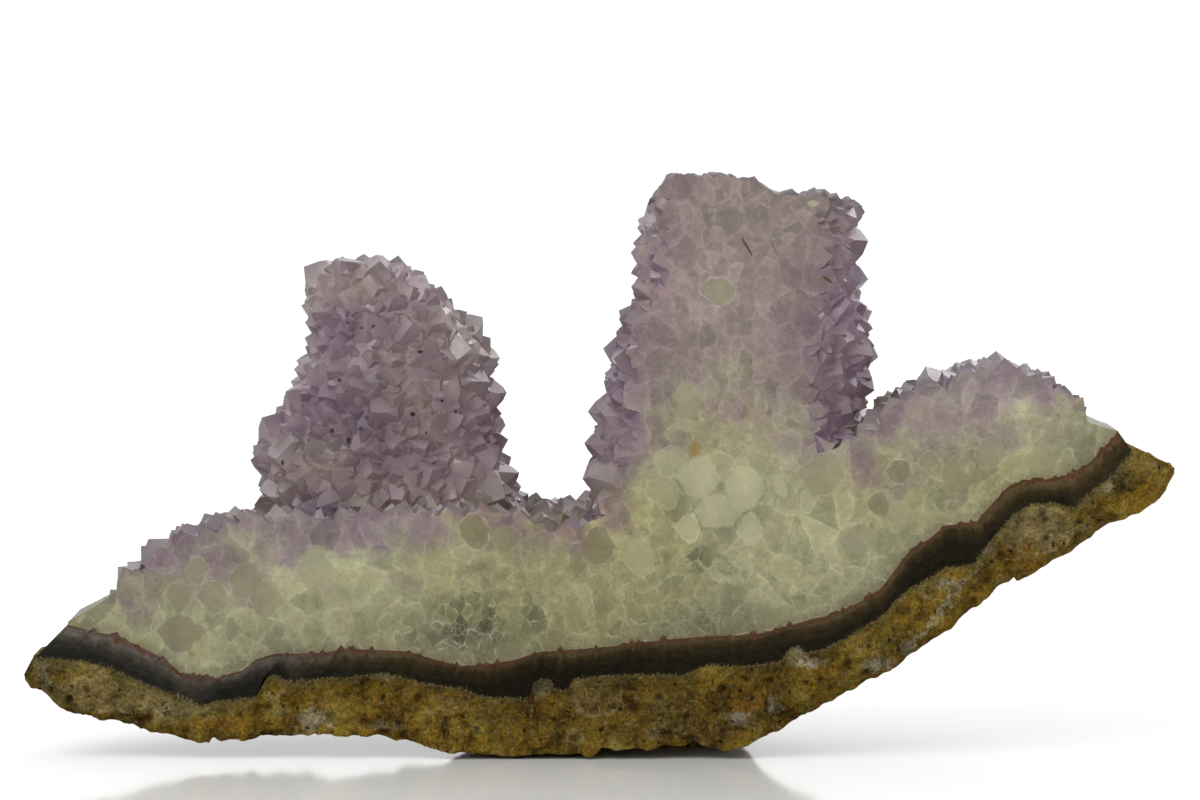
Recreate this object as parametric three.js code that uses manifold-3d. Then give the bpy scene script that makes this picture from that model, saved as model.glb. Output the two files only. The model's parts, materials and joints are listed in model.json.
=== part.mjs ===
// An amethyst stalactite specimen: a piece of geode wall, sawn and polished across its front.
// From the ground up it has three layers: weathered basalt, a dark agate band, and a bed of quartz
// that carries two crystal-covered stalactites. The left one is whole and stands behind the saw cut.
// The right one is sawn down its middle, and its top is broken off on a slant.
// Units are millimetres. +X is right along the polished face, +Y runs back into the stone, +Z is up.
import * as THREE from "three";
import { ConvexGeometry } from "three/addons/geometries/ConvexGeometry.js";
import { MeshSurfaceSampler } from "three/addons/math/MeshSurfaceSampler.js";
import { mergeVertices } from "three/addons/utils/BufferGeometryUtils.js";
import Module from "manifold-3d";

const wasm = await Module();
wasm.setup();

// The lines of the layers on the polished face, as [x, z], measured from the middle of the foot.
const UNDERSIDE_LINE = [
  [-115.7, 17.3], [-114.6, 15.7], [-112, 14.6], [-109.3, 11.9], [-106.6, 10.3], [-101.2, 9.5], [-97, 9],
  [-93.2, 7.4], [-83.6, 5.2], [-77.1, 3.9], [-66.4, 4.7], [-55.7, 5.8], [-45, 5], [-36, 3.3], [-27.9, 1.8],
  [-21.5, 1], [-14, 0], [-6.5, 0], [-2.2, 0.7], [-0.1, 2.8], [10.6, 2.6], [19.8, 3.4], [22.4, 2.3], [25.1, 2],
  [31, 3.9], [36.4, 6.1], [40, 8.2], [46, 11.6], [57, 17.6], [61, 20], [65, 23], [70, 26.6], [76, 31.6],
  [80.6, 35.4], [87.6, 39.3], [95.4, 43.7], [101, 48], [108.4, 51.5], [112.7, 54.1], [115.1, 59.2],
];
const BASALT_TOP_LINE = [
  [-113.6, 21], [-103.9, 20.2], [-98.6, 18.9], [-93.2, 16.2], [-87.9, 14.3], [-80.4, 11.1], [-77.1, 12],
  [-69.1, 13], [-67.8, 16.7], [-65.4, 17.5], [-63.2, 16.2], [-50.4, 17], [-43.9, 17.8], [-39.7, 17],
  [-35.4, 15.7], [-27.9, 14.6], [-24.2, 13], [-14.3, 12.5], [-13.5, 15.7], [-11.9, 16.8], [-10.2, 16.2],
  [-9.2, 14.4], [-6.5, 14.4], [-5.4, 16.5], [-2.2, 17], [9.6, 17.6], [16.5, 17.3], [21.4, 19.5], [29.9, 19.2],
  [36.4, 20.3], [38, 22.7], [40, 23.2], [46, 24.6], [52, 28.2], [59.8, 34.6], [69.3, 39.8], [75, 40.2],
  [79.8, 46.3], [83.2, 50.2], [86.7, 51.9], [91, 52.1], [95.4, 51], [97.5, 53.6], [103.2, 58], [106.6, 62.7],
];
const AGATE_TOP_LINE = [
  [-106.9, 27.5], [-96.4, 25], [-92.1, 22.9], [-86.8, 20.2], [-83.6, 17.3], [-77.7, 16.7], [-71.8, 18.1],
  [-69.1, 20.5], [-65.4, 21.6], [-55.7, 21.6], [-50.9, 22.6], [-38.1, 22.1], [-33.3, 20.5], [-27.9, 19.2],
  [-22.6, 19.2], [-17.2, 20.5], [-11.9, 22.1], [-1.1, 22.9], [11.7, 24.3], [25.1, 25.3], [32.1, 25.6],
  [36.4, 27], [46, 29.4], [52, 32], [56.3, 34.6], [62, 42.4], [66.3, 45], [69.3, 47.6], [75.4, 48.2],
  [81.5, 54.9], [85, 56.7], [91, 56.9], [94.5, 58], [98, 60.1], [103.6, 66],
];
const QUARTZ_TOP_LINE = [
  [-106.7, 28], [-100, 31.5], [-95, 35], [-90, 39.5], [-84, 43], [-76, 45.5], [-66, 47.5], [-40, 49.5],
  [-20, 49], [-14, 47.5], [-5, 47], [4, 50], [30, 58], [50, 62], [55, 66], [60, 70], [66, 74], [74, 76.5],
  [82, 77.5], [88, 76], [94, 71.5], [97, 68.5], [103.4, 66.5],
];
// How far back the stone reaches behind the polished face, as [x, depth].
const DEPTH_LINE = [
  [-116, 11], [-108, 20], [-98, 31], [-84, 42], [-64, 50], [-38, 54], [-10, 52], [18, 47], [46, 44], [70, 39],
  [88, 31], [102, 22], [115, 10],
];
const ROWS = [0, 0.14, 0.42, 0.74, 1]; // grid rows from face to back, as shares of the depth
const LAYER_GAP = 0.3; // clearance between two layers that touch
const UNDERSIDE_REACH = 0.86; // how far the rough underside reaches back, as a share of the stone's depth
const BED_REACH = 0.95; // how far the crystal bed reaches back
const END_TAPER = 6; // the layers' waves die out over one sixth of the length at each end

// The flat that the stone rests on, ground into the underside.
const FOOT_LEFT = -22;
const FOOT_RIGHT = 35;
const FOOT_STEP = 0; // right of this the foot starts further back, behind a hollow under the polished face
const FOOT_CUT = 3.6; // how much lower the rough underside would hang over the foot

// A stalactite is a stack of rounded rings: each ring has its height, centre and half widths.
const LEFT_STALACTITE = [
  { z: 38, x: -43, y: 27, rx: 27, ry: 23 }, { z: 53, x: -43.4, y: 27, rx: 25.6, ry: 22 },
  { z: 61, x: -44.6, y: 27, rx: 24, ry: 21 }, { z: 71, x: -42.4, y: 27, rx: 20.4, ry: 18.5 },
  { z: 81, x: -41.6, y: 26, rx: 18, ry: 16 }, { z: 89, x: -45, y: 26, rx: 14, ry: 13 },
  { z: 96, x: -48.6, y: 26, rx: 10, ry: 9 }, { z: 99, x: -49, y: 26, rx: 5, ry: 5 },
];
const RIGHT_STALACTITE = [
  { z: 44, x: 27, y: 14, rx: 29, ry: 21 }, { z: 58, x: 27, y: 14, rx: 27.2, ry: 20 },
  { z: 70, x: 27, y: 13, rx: 25.8, ry: 19.5 }, { z: 82, x: 28.2, y: 13, rx: 24.8, ry: 19 },
  { z: 95, x: 29.8, y: 12, rx: 22, ry: 18 }, { z: 108, x: 29.8, y: 11, rx: 20, ry: 17 },
  { z: 126, x: 30, y: 10, rx: 19, ry: 16 },
];
const RING_SIDES = 14;
const RIGHT_SKEW = 0.22; // how far the right stalactite's rings lean to the right as they go back

// The slanted break across the top of the right stalactite, as [x, z] on the polished face.
const BREAK_LINE = [
  [0, 97], [6, 106], [10, 113.6], [13, 117.2], [17, 118.4], [24, 118.6], [29, 116.6], [35, 114.8],
  [44, 113.6], [50, 112.4], [60, 109],
];
const BREAK_FALL_BACK = 0.12; // its fall to the back
const BREAK_CELL = 6.5; // size of its ledges
const BREAK_ROUGHNESS = 1.6;

// Quartz points: a six-sided prism whose end has three large and three small faces.
const END_FACE_TILT = THREE.MathUtils.degToRad(51.8); // of quartz, from the plane across the crystal
const POINT_WIDTH = [8.4, 11.4]; // smallest and largest width across flats
const POINT_PITCH = 7.8; // closest spacing of two points
const POINT_LEAN = 0.3; // how far a point may lean from the surface's normal, as a tangent
const POINT_LIFT = [0.36, 0.56]; // how far the tip stands out of the bed, as a share of the width
const POINT_TRIES = 5200;
const POINT_ENDS = [-94, 91]; // no points grow beyond these, where the bed thins out
const BARE_BELOW_BREAK = 2.2; // height of the bare edge under the break
const BARE_BACK_WALL = 7; // below this depth under the bed's top, the steep back wall is broken and bare
const SMALLEST_EDGE = 0.14; // details smaller than this are merged
const SEED = 20;

// Points that the specimen is known by, on its outline: tip [x, y, z], the way it points, and its width.
const KNOWN_POINTS = [
  { tip: [-45.6, 25, 101.4], way: [0.05, -0.1, 1], width: 7.5 },
  { tip: [-53.5, 24, 101], way: [-0.35, -0.1, 1], width: 7 },
  { tip: [-61.8, 25, 97], way: [-1, -0.1, 0.35], width: 8 },
  { tip: [-38.6, 26, 97.3], way: [0.6, -0.1, 1], width: 7 },
  { tip: [-51, 6.2, 82], way: [-0.1, -1, 0.35], width: 8 },
  { tip: [-65.6, 25, 76], way: [-1, -0.2, 0.25], width: 9 },
  { tip: [-72.4, 24, 60], way: [-1, -0.3, 0.1], width: 9 },
  { tip: [52.6, 9, 110.6], way: [1, 0.1, 0.9], width: 9 },
  { tip: [53.8, 10, 97], way: [1, -0.1, -0.4], width: 9 },
  { tip: [55.4, 11, 78], way: [1, -0.2, 0.1], width: 10 },
  { tip: [57, 10, 70.6], way: [0.8, 0.1, 0.7], width: 9 },
  { tip: [6.3, 9, 104], way: [-1, 0.1, 0.1], width: 9 },
  { tip: [4.4, 10, 91.4], way: [-1, 0, 0.1], width: 8 },
  { tip: [-0.4, 9, 81.8], way: [-1, 0.1, 0.4], width: 9 },
  { tip: [-0.8, 10, 71.4], way: [-1, 0.1, -0.1], width: 8 },
  { tip: [-3.6, 8, 54.6], way: [-1, -0.1, 0.4], width: 7.5 },
  { tip: [67.6, 10, 80.3], way: [-0.3, -0.1, 1], width: 9 },
  { tip: [81, 13, 81.4], way: [0.1, 0, 1], width: 8.5 },
  { tip: [61, 12, 76.2], way: [-0.6, -0.1, 1], width: 8 },
  { tip: [-77, 14, 50.2], way: [0, -0.1, 1], width: 8 },
  { tip: [-87.4, 13, 47], way: [-0.35, 0, 1], width: 8 },
];

const COLOURS = { basalt: 0x6a5426, agate: 0x33291c, druse: 0x9a8a9c };

// A repeatable random number from 0 to 1.
function randomFrom(seed) {
  let state = seed;
  return () => {
    state = (state + 0x6d2b79f5) | 0;
    let t = Math.imul(state ^ (state >>> 15), 1 | state);
    t = (t + Math.imul(t ^ (t >>> 7), 61 | t)) ^ t;
    return ((t ^ (t >>> 14)) >>> 0) / 4294967296;
  };
}

const between = ([low, high], share) => low + (high - low) * share;

// The height of a line of [x, z] points at x.
function heightAt(line, x) {
  const after = line.findIndex((point) => point[0] >= x);
  if (after === 0) return line[0][1];
  if (after < 0) return line.at(-1)[1];
  const [x0, z0] = line[after - 1];
  const [x1, z1] = line[after];
  return z0 + ((z1 - z0) * (x - x0)) / (x1 - x0);
}

function toSolid(geometry) {
  const bare = geometry.clone();
  bare.deleteAttribute("normal");
  bare.deleteAttribute("uv");
  const merged = mergeVertices(bare, 1e-4);
  return new wasm.Manifold(
    new wasm.Mesh({
      numProp: 3,
      vertProperties: merged.attributes.position.array,
      triVerts: new Uint32Array(merged.index.array),
    }),
  );
}

function toGeometry(solid) {
  const mesh = solid.getMesh();
  const geometry = new THREE.BufferGeometry();
  geometry.setAttribute("position", new THREE.BufferAttribute(mesh.vertProperties, 3));
  geometry.setIndex(new THREE.BufferAttribute(mesh.triVerts, 1));
  return geometry;
}

const box = (low, high) =>
  toSolid(
    new THREE.BoxGeometry(high.x - low.x, high.y - low.y, high.z - low.z).translate(
      (low.x + high.x) / 2,
      (low.y + high.y) / 2,
      (low.z + high.z) / 2,
    ),
  );

// A sheet is a grid of points over the stone's plan, from a line on the polished face to the back.
// Every sheet has its stations at the same shares of its length, so that two layers share one sheet.
const span = BASALT_TOP_LINE.at(-1)[0] - BASALT_TOP_LINE[0][0];
const STATIONS = BASALT_TOP_LINE.map(([x]) => (x - BASALT_TOP_LINE[0][0]) / span);

function sheet(line, reach, rise) {
  return STATIONS.map((share) => {
    const x = between([line[0][0], line.at(-1)[0]], share);
    const depth = heightAt(DEPTH_LINE, x) * reach + 1.3 * Math.sin(x * 0.31 + 9 * reach);
    const taper = Math.min(1, END_TAPER * share, END_TAPER * (1 - share));
    return ROWS.map((row) => new THREE.Vector3(x, row * depth, heightAt(line, x) + taper * rise(x, row)));
  });
}

// Closed solid between two sheets, its underside lifted by a gap.
function solidBetween(lower, upper, gap) {
  const grid = [...lower.map((row) => row.map((p) => p.clone().setZ(p.z + gap))), ...upper];
  const stations = lower.length;
  const rows = ROWS.length;
  const at = (level, i, j) => (level * stations + i) * rows + j;
  const faces = [];
  const quad = (a, b, c, d) => faces.push(a, b, c, a, c, d);
  for (let i = 0; i < stations - 1; i++) {
    for (let j = 0; j < rows - 1; j++) {
      quad(at(0, i, j), at(0, i, j + 1), at(0, i + 1, j + 1), at(0, i + 1, j));
      quad(at(1, i, j), at(1, i + 1, j), at(1, i + 1, j + 1), at(1, i, j + 1));
    }
    quad(at(0, i, 0), at(0, i + 1, 0), at(1, i + 1, 0), at(1, i, 0));
    quad(at(0, i + 1, rows - 1), at(0, i, rows - 1), at(1, i, rows - 1), at(1, i + 1, rows - 1));
  }
  const end = stations - 1;
  for (let j = 0; j < rows - 1; j++) {
    quad(at(0, 0, j + 1), at(0, 0, j), at(1, 0, j), at(1, 0, j + 1));
    quad(at(0, end, j), at(0, end, j + 1), at(1, end, j + 1), at(1, end, j));
  }
  const geometry = new THREE.BufferGeometry();
  const positions = grid.flat().flatMap((p) => [p.x, p.y, p.z]);
  geometry.setAttribute("position", new THREE.Float32BufferAttribute(positions, 3));
  geometry.setIndex(faces);
  return toSolid(geometry);
}

// Rounded rings joined one above the other, closed at both ends.
function ringStack(rings, skew) {
  const positions = [];
  const faces = [];
  for (const ring of rings)
    for (let k = 0; k < RING_SIDES; k++) {
      const turn = (k / RING_SIDES) * 2 * Math.PI;
      const bulge = 1 + 0.045 * Math.sin(3 * turn + ring.z * 0.17);
      const back = ring.ry * bulge * Math.sin(turn);
      positions.push(ring.x + ring.rx * bulge * Math.cos(turn) + skew * back, ring.y + back, ring.z);
    }
  for (let i = 0; i < rings.length - 1; i++)
    for (let k = 0; k < RING_SIDES; k++) {
      const a = i * RING_SIDES + k;
      const b = i * RING_SIDES + ((k + 1) % RING_SIDES);
      faces.push(a, b, b + RING_SIDES, a, b + RING_SIDES, a + RING_SIDES);
    }
  const top = (rings.length - 1) * RING_SIDES;
  for (let k = 1; k < RING_SIDES - 1; k++) {
    faces.push(0, k + 1, k);
    faces.push(top, top + k, top + k + 1);
  }
  const geometry = new THREE.BufferGeometry();
  geometry.setAttribute("position", new THREE.Float32BufferAttribute(positions, 3));
  geometry.setIndex(faces);
  return toSolid(geometry);
}

// The corners of a quartz point of width 1 whose tip is at the origin and whose root is below it.
// uneven is how much smaller the three small end faces are.
function pointCorners(uneven, root) {
  const planes = [{ n: new THREE.Vector3(0, 0, -1), d: root }];
  for (let k = 0; k < 6; k++) {
    const turn = (k * Math.PI) / 3;
    const out = new THREE.Vector3(Math.cos(turn), Math.sin(turn), 0);
    planes.push({ n: out, d: 0.5 });
    const end = out.clone().multiplyScalar(Math.sin(END_FACE_TILT)).setZ(Math.cos(END_FACE_TILT));
    planes.push({ n: end, d: k % 2 ? uneven : 0 });
  }
  const corners = [];
  for (let a = 0; a < planes.length; a++)
    for (let b = a + 1; b < planes.length; b++)
      for (let c = b + 1; c < planes.length; c++) {
        const [p, q, r] = [planes[a], planes[b], planes[c]];
        const across = new THREE.Vector3().crossVectors(q.n, r.n);
        const volume = p.n.dot(across);
        if (Math.abs(volume) < 1e-6) continue;
        const corner = across.multiplyScalar(p.d);
        corner.addScaledVector(new THREE.Vector3().crossVectors(r.n, p.n), q.d);
        corner.addScaledVector(new THREE.Vector3().crossVectors(p.n, q.n), r.d);
        corner.divideScalar(volume);
        const inside = planes.every((plane) => plane.n.dot(corner) <= plane.d + 1e-6);
        if (inside && !corners.some((other) => other.distanceTo(corner) < 1e-4)) corners.push(corner);
      }
  return corners;
}

function quartzPoint({ tip, way, width, spin, uneven, root }) {
  const turn = new THREE.Quaternion().setFromUnitVectors(new THREE.Vector3(0, 0, 1), way.clone().normalize());
  turn.multiply(new THREE.Quaternion().setFromAxisAngle(new THREE.Vector3(0, 0, 1), spin));
  const place = new THREE.Matrix4().compose(tip, turn, new THREE.Vector3(width, width, width));
  return toSolid(new ConvexGeometry(pointCorners(uneven, root).map((corner) => corner.applyMatrix4(place))));
}

// Joins many solids two by two, which keeps each join small.
function joined(solids) {
  if (solids.length === 1) return solids[0];
  const half = solids.length >> 1;
  return joined(solids.slice(0, half)).add(joined(solids.slice(half)));
}

// Places where quartz points grow: spread over the bed, none on a sawn, broken or buried face.
function growingPlaces(bed, random) {
  const mesh = new THREE.Mesh(toGeometry(bed).toNonIndexed());
  mesh.geometry.computeVertexNormals();
  const sampler = new MeshSurfaceSampler(mesh).setRandomGenerator(random).build();
  const places = [];
  for (let k = 0; k < POINT_TRIES; k++) {
    const at = new THREE.Vector3();
    const normal = new THREE.Vector3();
    sampler.sample(at, normal);
    const onSaw = normal.y < -0.95 && at.y < 0.5;
    const overRight = at.x > BREAK_LINE[0][0] && at.x < BREAK_LINE.at(-1)[0];
    const onBreak = overRight && at.z > breakHeight(at.x, at.y) - BARE_BELOW_BREAK;
    const onBackWall = at.z < heightAt(QUARTZ_TOP_LINE, at.x) - BARE_BACK_WALL && normal.z < 0.5;
    const onThinEnd = at.x < POINT_ENDS[0] || at.x > POINT_ENDS[1];
    if (onSaw || onBreak || onBackWall || onThinEnd || normal.z < -0.3) continue;
    const close = places.some((other) => other.at.distanceTo(at) < POINT_PITCH * (0.85 + 0.3 * other.size));
    if (!close) places.push({ at, normal, size: random() });
  }
  return places;
}

const breakHeight = (x, y) => heightAt(BREAK_LINE, x) - y * BREAK_FALL_BACK;

// Everything above the break, with a rough underside.
function aboveBreak(random) {
  const lower = [];
  for (let x = BREAK_LINE[0][0]; x <= BREAK_LINE.at(-1)[0]; x += BREAK_CELL)
    lower.push(
      ROWS.map((row) => {
        const y = row * 56 - 8;
        return new THREE.Vector3(x, y, breakHeight(x, y) - BREAK_ROUGHNESS * random());
      }),
    );
  const upper = lower.map((row) => row.map((p) => p.clone().setZ(farAway)));
  return solidBetween(lower, upper, 0);
}

// The waves of the layers behind the polished face. At the face itself, row 0, they are flat.
const bandWave = (x, row) => 1.6 * row * Math.sin(x * 0.09 + 3.2 * row) + 3.5 * row * row;
const bedWave = (x, row) => bandWave(x, row) + 1.5 * row * Math.sin(x * 0.13 + 4 * row) - 8 * row ** 3;

function undersideRise(x, row) {
  const rough = (1 + Math.sin(x * 0.47 + row * 7) * Math.sin(x * 0.19 + row * 13)) * Math.min(1, row * 5);
  const firstRow = x < FOOT_STEP ? ROWS[1] : ROWS[2];
  const inFoot = x > FOOT_LEFT && x < FOOT_RIGHT && row >= firstRow && row < 1;
  const own = heightAt(UNDERSIDE_LINE, x);
  if (inFoot) return Math.max(-own, rough - FOOT_CUT - 2 * row);
  return Math.max(1.2 - own, rough + 7 * row ** 3);
}

const underside = sheet(UNDERSIDE_LINE, UNDERSIDE_REACH, undersideRise);
const basaltTop = sheet(BASALT_TOP_LINE, 1, bandWave);
const agateTop = sheet(AGATE_TOP_LINE, 1, bandWave);
const quartzTop = sheet(QUARTZ_TOP_LINE, BED_REACH, bedWave);

const random = randomFrom(SEED);
const farAway = 200;
const inFrontOfSaw = box(
  new THREE.Vector3(-farAway, -farAway, -farAway),
  new THREE.Vector3(farAway, 0, farAway),
);

function makeDruse() {
  let bed = solidBetween(agateTop, quartzTop, LAYER_GAP);
  bed = bed.add(ringStack(LEFT_STALACTITE, 0)).add(ringStack(RIGHT_STALACTITE, RIGHT_SKEW));
  bed = bed.subtract(inFrontOfSaw).subtract(aboveBreak(random));
  const points = growingPlaces(bed, random).map(({ at, normal, size }) => {
    const width = between(POINT_WIDTH, size * size);
    const lean = new THREE.Vector3(random() - 0.5, random() - 0.5, random() - 0.5);
    const way = normal.clone().addScaledVector(lean, 2 * POINT_LEAN).normalize();
    const tip = at.clone().addScaledVector(way, width * between(POINT_LIFT, random()));
    return quartzPoint({ tip, way, width, spin: random() * 2, uneven: 0, root: 1.1 });
  });
  const known = KNOWN_POINTS.map(({ tip, way, width }) =>
    quartzPoint({
      tip: new THREE.Vector3(...tip),
      way: new THREE.Vector3(...way),
      width,
      spin: random() * 2,
      uneven: 0.16,
      root: 1.5,
    }),
  );
  return joined([bed, ...points, ...known]).subtract(inFrontOfSaw).simplify(SMALLEST_EDGE);
}

// Each node with its solid and its finish.
const solids = {
  basalt_matrix: solidBetween(underside, basaltTop, 0),
  agate_band: solidBetween(basaltTop, agateTop, LAYER_GAP),
  amethyst_druse: makeDruse(),
};

const specimen = new THREE.Group();
const finishes = {
  basalt_matrix: { color: COLOURS.basalt, roughness: 0.95, metalness: 0 },
  agate_band: { color: COLOURS.agate, roughness: 0.25, metalness: 0 },
  amethyst_druse: { color: COLOURS.druse, roughness: 0.2, metalness: 0 },
};
for (const [name, solid] of Object.entries(solids)) {
  const mesh = new THREE.Mesh(toGeometry(solid), new THREE.MeshStandardMaterial(finishes[name]));
  mesh.name = name;
  specimen.add(mesh);
}

// The origin goes to the middle of the specimen's footprint, level with its foot.
const bounds = new THREE.Box3().setFromObject(specimen);
const middle = bounds.getCenter(new THREE.Vector3());
specimen.position.set(-middle.x, -middle.y, -bounds.min.z);

export default specimen;
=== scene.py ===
# %% [markdown]
# # An amethyst stalactite specimen
# This is a piece of geode wall that was sawn and polished across its front. It has three parts:
# weathered basalt underneath, a dark agate band on it, and a bed of quartz that turns to amethyst and
# carries two stalactites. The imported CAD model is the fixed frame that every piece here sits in.
# %% Load the frame
import itertools
import json
import math

import bmesh
import bpy
import numpy as np
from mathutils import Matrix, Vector

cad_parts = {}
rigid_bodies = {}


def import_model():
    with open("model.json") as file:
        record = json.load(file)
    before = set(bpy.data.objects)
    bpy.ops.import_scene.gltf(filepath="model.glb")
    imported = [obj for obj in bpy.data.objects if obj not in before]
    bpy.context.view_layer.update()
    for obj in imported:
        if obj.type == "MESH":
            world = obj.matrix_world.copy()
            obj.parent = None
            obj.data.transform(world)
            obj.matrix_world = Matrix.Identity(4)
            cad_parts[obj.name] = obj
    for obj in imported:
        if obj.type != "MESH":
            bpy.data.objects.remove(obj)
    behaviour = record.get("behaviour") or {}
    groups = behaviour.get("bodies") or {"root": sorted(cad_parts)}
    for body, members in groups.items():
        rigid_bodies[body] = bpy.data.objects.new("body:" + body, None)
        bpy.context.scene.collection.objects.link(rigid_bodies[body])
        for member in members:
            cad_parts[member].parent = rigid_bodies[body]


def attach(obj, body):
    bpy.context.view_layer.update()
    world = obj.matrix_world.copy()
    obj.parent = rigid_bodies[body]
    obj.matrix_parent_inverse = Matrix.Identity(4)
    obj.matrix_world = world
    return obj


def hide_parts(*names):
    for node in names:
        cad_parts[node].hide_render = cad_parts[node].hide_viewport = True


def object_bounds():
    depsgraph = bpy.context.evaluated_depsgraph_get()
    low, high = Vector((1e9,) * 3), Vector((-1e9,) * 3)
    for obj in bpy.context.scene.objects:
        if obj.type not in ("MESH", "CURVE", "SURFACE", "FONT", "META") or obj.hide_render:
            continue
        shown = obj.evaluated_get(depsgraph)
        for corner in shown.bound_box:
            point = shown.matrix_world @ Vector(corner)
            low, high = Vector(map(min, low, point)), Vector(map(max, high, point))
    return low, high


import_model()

cad_low, cad_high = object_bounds()
MM = 0.001
SAW_Y = cad_low.y / MM  # the polished face, in mm
LEFT_END = -115.7  # where the lines of the layers start
SHIFT_X = cad_low.x / MM - LEFT_END  # from the lines' own zero to the frame's
print("CAD box, mm:", [round(v / MM, 1) for v in (*cad_low, *cad_high)])

# %% [markdown]
# ## The lines of the layers
# The saw cut shows each layer as a line. All the shapes here are built from these lines, in mm from the
# middle of the foot, so that the layers fit each other and the CAD model. The numbers are the CAD's own,
# apart from the lower edge of the agate at x 41 to 75 mm and the saddle between the stalactites, which were
# read from the photograph again.
# %% The layer lines
UNDERSIDE_LINE = [
    (-115.7, 17.3), (-114.6, 15.7), (-112, 14.6), (-109.3, 11.9), (-106.6, 10.3), (-101.2, 9.5), (-97, 9),
    (-93.2, 7.4), (-83.6, 5.2), (-77.1, 3.9), (-66.4, 4.7), (-55.7, 5.8), (-45, 5), (-36, 3.3),
    (-27.9, 1.8), (-21.5, 1), (-14, 0), (-6.5, 0), (-2.2, 0.7), (-0.1, 2.8), (10.6, 2.6), (19.8, 3.4),
    (22.4, 2.3), (25.1, 2), (31, 3.9), (36.4, 6.1), (40, 8.2), (46, 11.6), (57, 17.6), (61, 20), (65, 23),
    (70, 26.6), (76, 31.6), (80.6, 35.4), (87.6, 39.3), (95.4, 43.7), (101, 48), (108.4, 51.5),
    (112.7, 54.1), (115.1, 59.2),
]
BASALT_TOP_LINE = [
    (-113.6, 21), (-103.9, 20.2), (-98.6, 18.9), (-93.2, 16.2), (-87.9, 14.3), (-80.4, 11.1), (-77.1, 12),
    (-69.1, 13), (-67.8, 16.7), (-65.4, 17.5), (-63.2, 16.2), (-50.4, 17), (-43.9, 17.8), (-39.7, 17),
    (-35.4, 15.7), (-27.9, 14.6), (-24.2, 13), (-14.3, 12.5), (-13.5, 15.7), (-11.9, 16.8), (-10.2, 16.2),
    (-9.2, 14.4), (-6.5, 14.4), (-5.4, 16.5), (-2.2, 17), (9.6, 17.6), (16.5, 17.3), (21.4, 19.5),
    (29.9, 19.2), (36.4, 20.3), (38, 22.7), (40, 23.2), (41.6, 21.8), (45, 22.6), (50, 25.2), (52.4, 26.8),
    (57.2, 29.6), (59.6, 32.8), (62, 34.6), (66.8, 37.4), (69.3, 39.2), (75, 39.8), (79.8, 46.3),
    (83.2, 50.2), (86.7, 51.9), (91, 52.1), (95.4, 51), (97.5, 53.6), (103.2, 58), (106.6, 62.7),
]
AGATE_TOP_LINE = [
    (-106.9, 27.5), (-96.4, 25), (-92.1, 22.9), (-86.8, 20.2), (-83.6, 17.3), (-77.7, 16.7), (-71.8, 18.1),
    (-69.1, 20.5), (-65.4, 21.6), (-55.7, 21.6), (-50.9, 22.6), (-38.1, 22.1), (-33.3, 20.5), (-27.9, 19.2),
    (-22.6, 19.2), (-17.2, 20.5), (-11.9, 22.1), (-1.1, 22.9), (11.7, 24.3), (25.1, 25.3), (32.1, 25.6),
    (36.4, 27), (46, 29.4), (52, 32), (56.3, 34.6), (62, 42.4), (66.3, 45), (69.3, 47.6), (75.4, 48.2),
    (81.5, 54.9), (85, 56.7), (91, 56.9), (94.5, 58), (98, 60.1), (103.6, 66),
]
QUARTZ_TOP_LINE = [
    (-106.7, 28), (-100, 31.5), (-95, 35), (-90, 39.5), (-84, 43), (-76, 45.5), (-66, 47.5), (-40, 49.5),
    (-20, 48.6), (-14, 46.2), (-5, 45.6), (4, 50), (30, 58), (50, 62), (55, 66), (60, 70), (66, 74),
    (74, 76.5), (82, 77.5), (88, 76), (94, 71.5), (97, 68.5), (103.4, 66.5),
]
DEPTH_LINE = [
    (-116, 11), (-108, 20), (-98, 31), (-84, 42), (-64, 50), (-38, 54), (-10, 52), (18, 47), (46, 44),
    (70, 39), (88, 31), (102, 22), (115, 10),
]
UNDERSIDE_REACH, BED_REACH = 0.86, 0.95  # shares of the stone's depth
DEEPEST = 54  # mm
END_TAPER = 6  # the layers' waves die out over a sixth of the length at each end
FOOT_LEFT, FOOT_RIGHT, FOOT_SLOPE, FOOT_CUT = -22, 27, 9, 3.6  # the flat that it stands on, in mm
FOOT_BACK, FOOT_EDGE = 0.9, 0.1  # shares of the depth


def height_at(line, x):
    xs, zs = zip(*line)
    return np.interp(x, xs, zs)


print("face of the stone:", UNDERSIDE_LINE[0][0], "to", UNDERSIDE_LINE[-1][0], "mm")

# %% [markdown]
# ## Rough stone
# Broken stone is rough at every size at once. The helper below gives such roughness at any point in
# space: random values on a lattice, blended smoothly, with finer and weaker lattices added on top.
# %% Roughness in space
def roughness_at(points, size, seed=0, octaves=3):
    """Values from about -1 to 1 at points in mm, in lumps of that size."""
    total, weight = np.zeros(len(points)), 0
    for octave in range(octaves):
        p = points / size * 2**octave + 31.7 * (seed + octave)
        cell = np.floor(p).astype(np.int64)
        part = p - cell
        part = part * part * (3 - 2 * part)
        value = np.zeros(len(points))
        for corner in itertools.product((0, 1), repeat=3):
            near = cell + corner
            key = near[:, 0] * 73856093 ^ near[:, 1] * 19349663 ^ near[:, 2] * 83492791
            key = key ^ (seed + 7) * 374761393
            key = ((key ^ (key >> 13)) * 1274126177) & 0xFFFFFFFF
            random = ((key ^ (key >> 16)) & 0xFFFF) / 32767.5 - 1
            value += random * np.prod(np.where(corner, part, 1 - part), axis=1)
        total += value * 0.5**octave
        weight += 0.5**octave
    return total / weight


print("roughness sample:", roughness_at(np.array([[1.0, 2.0, 3.0]]), 4).round(3))

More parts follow.
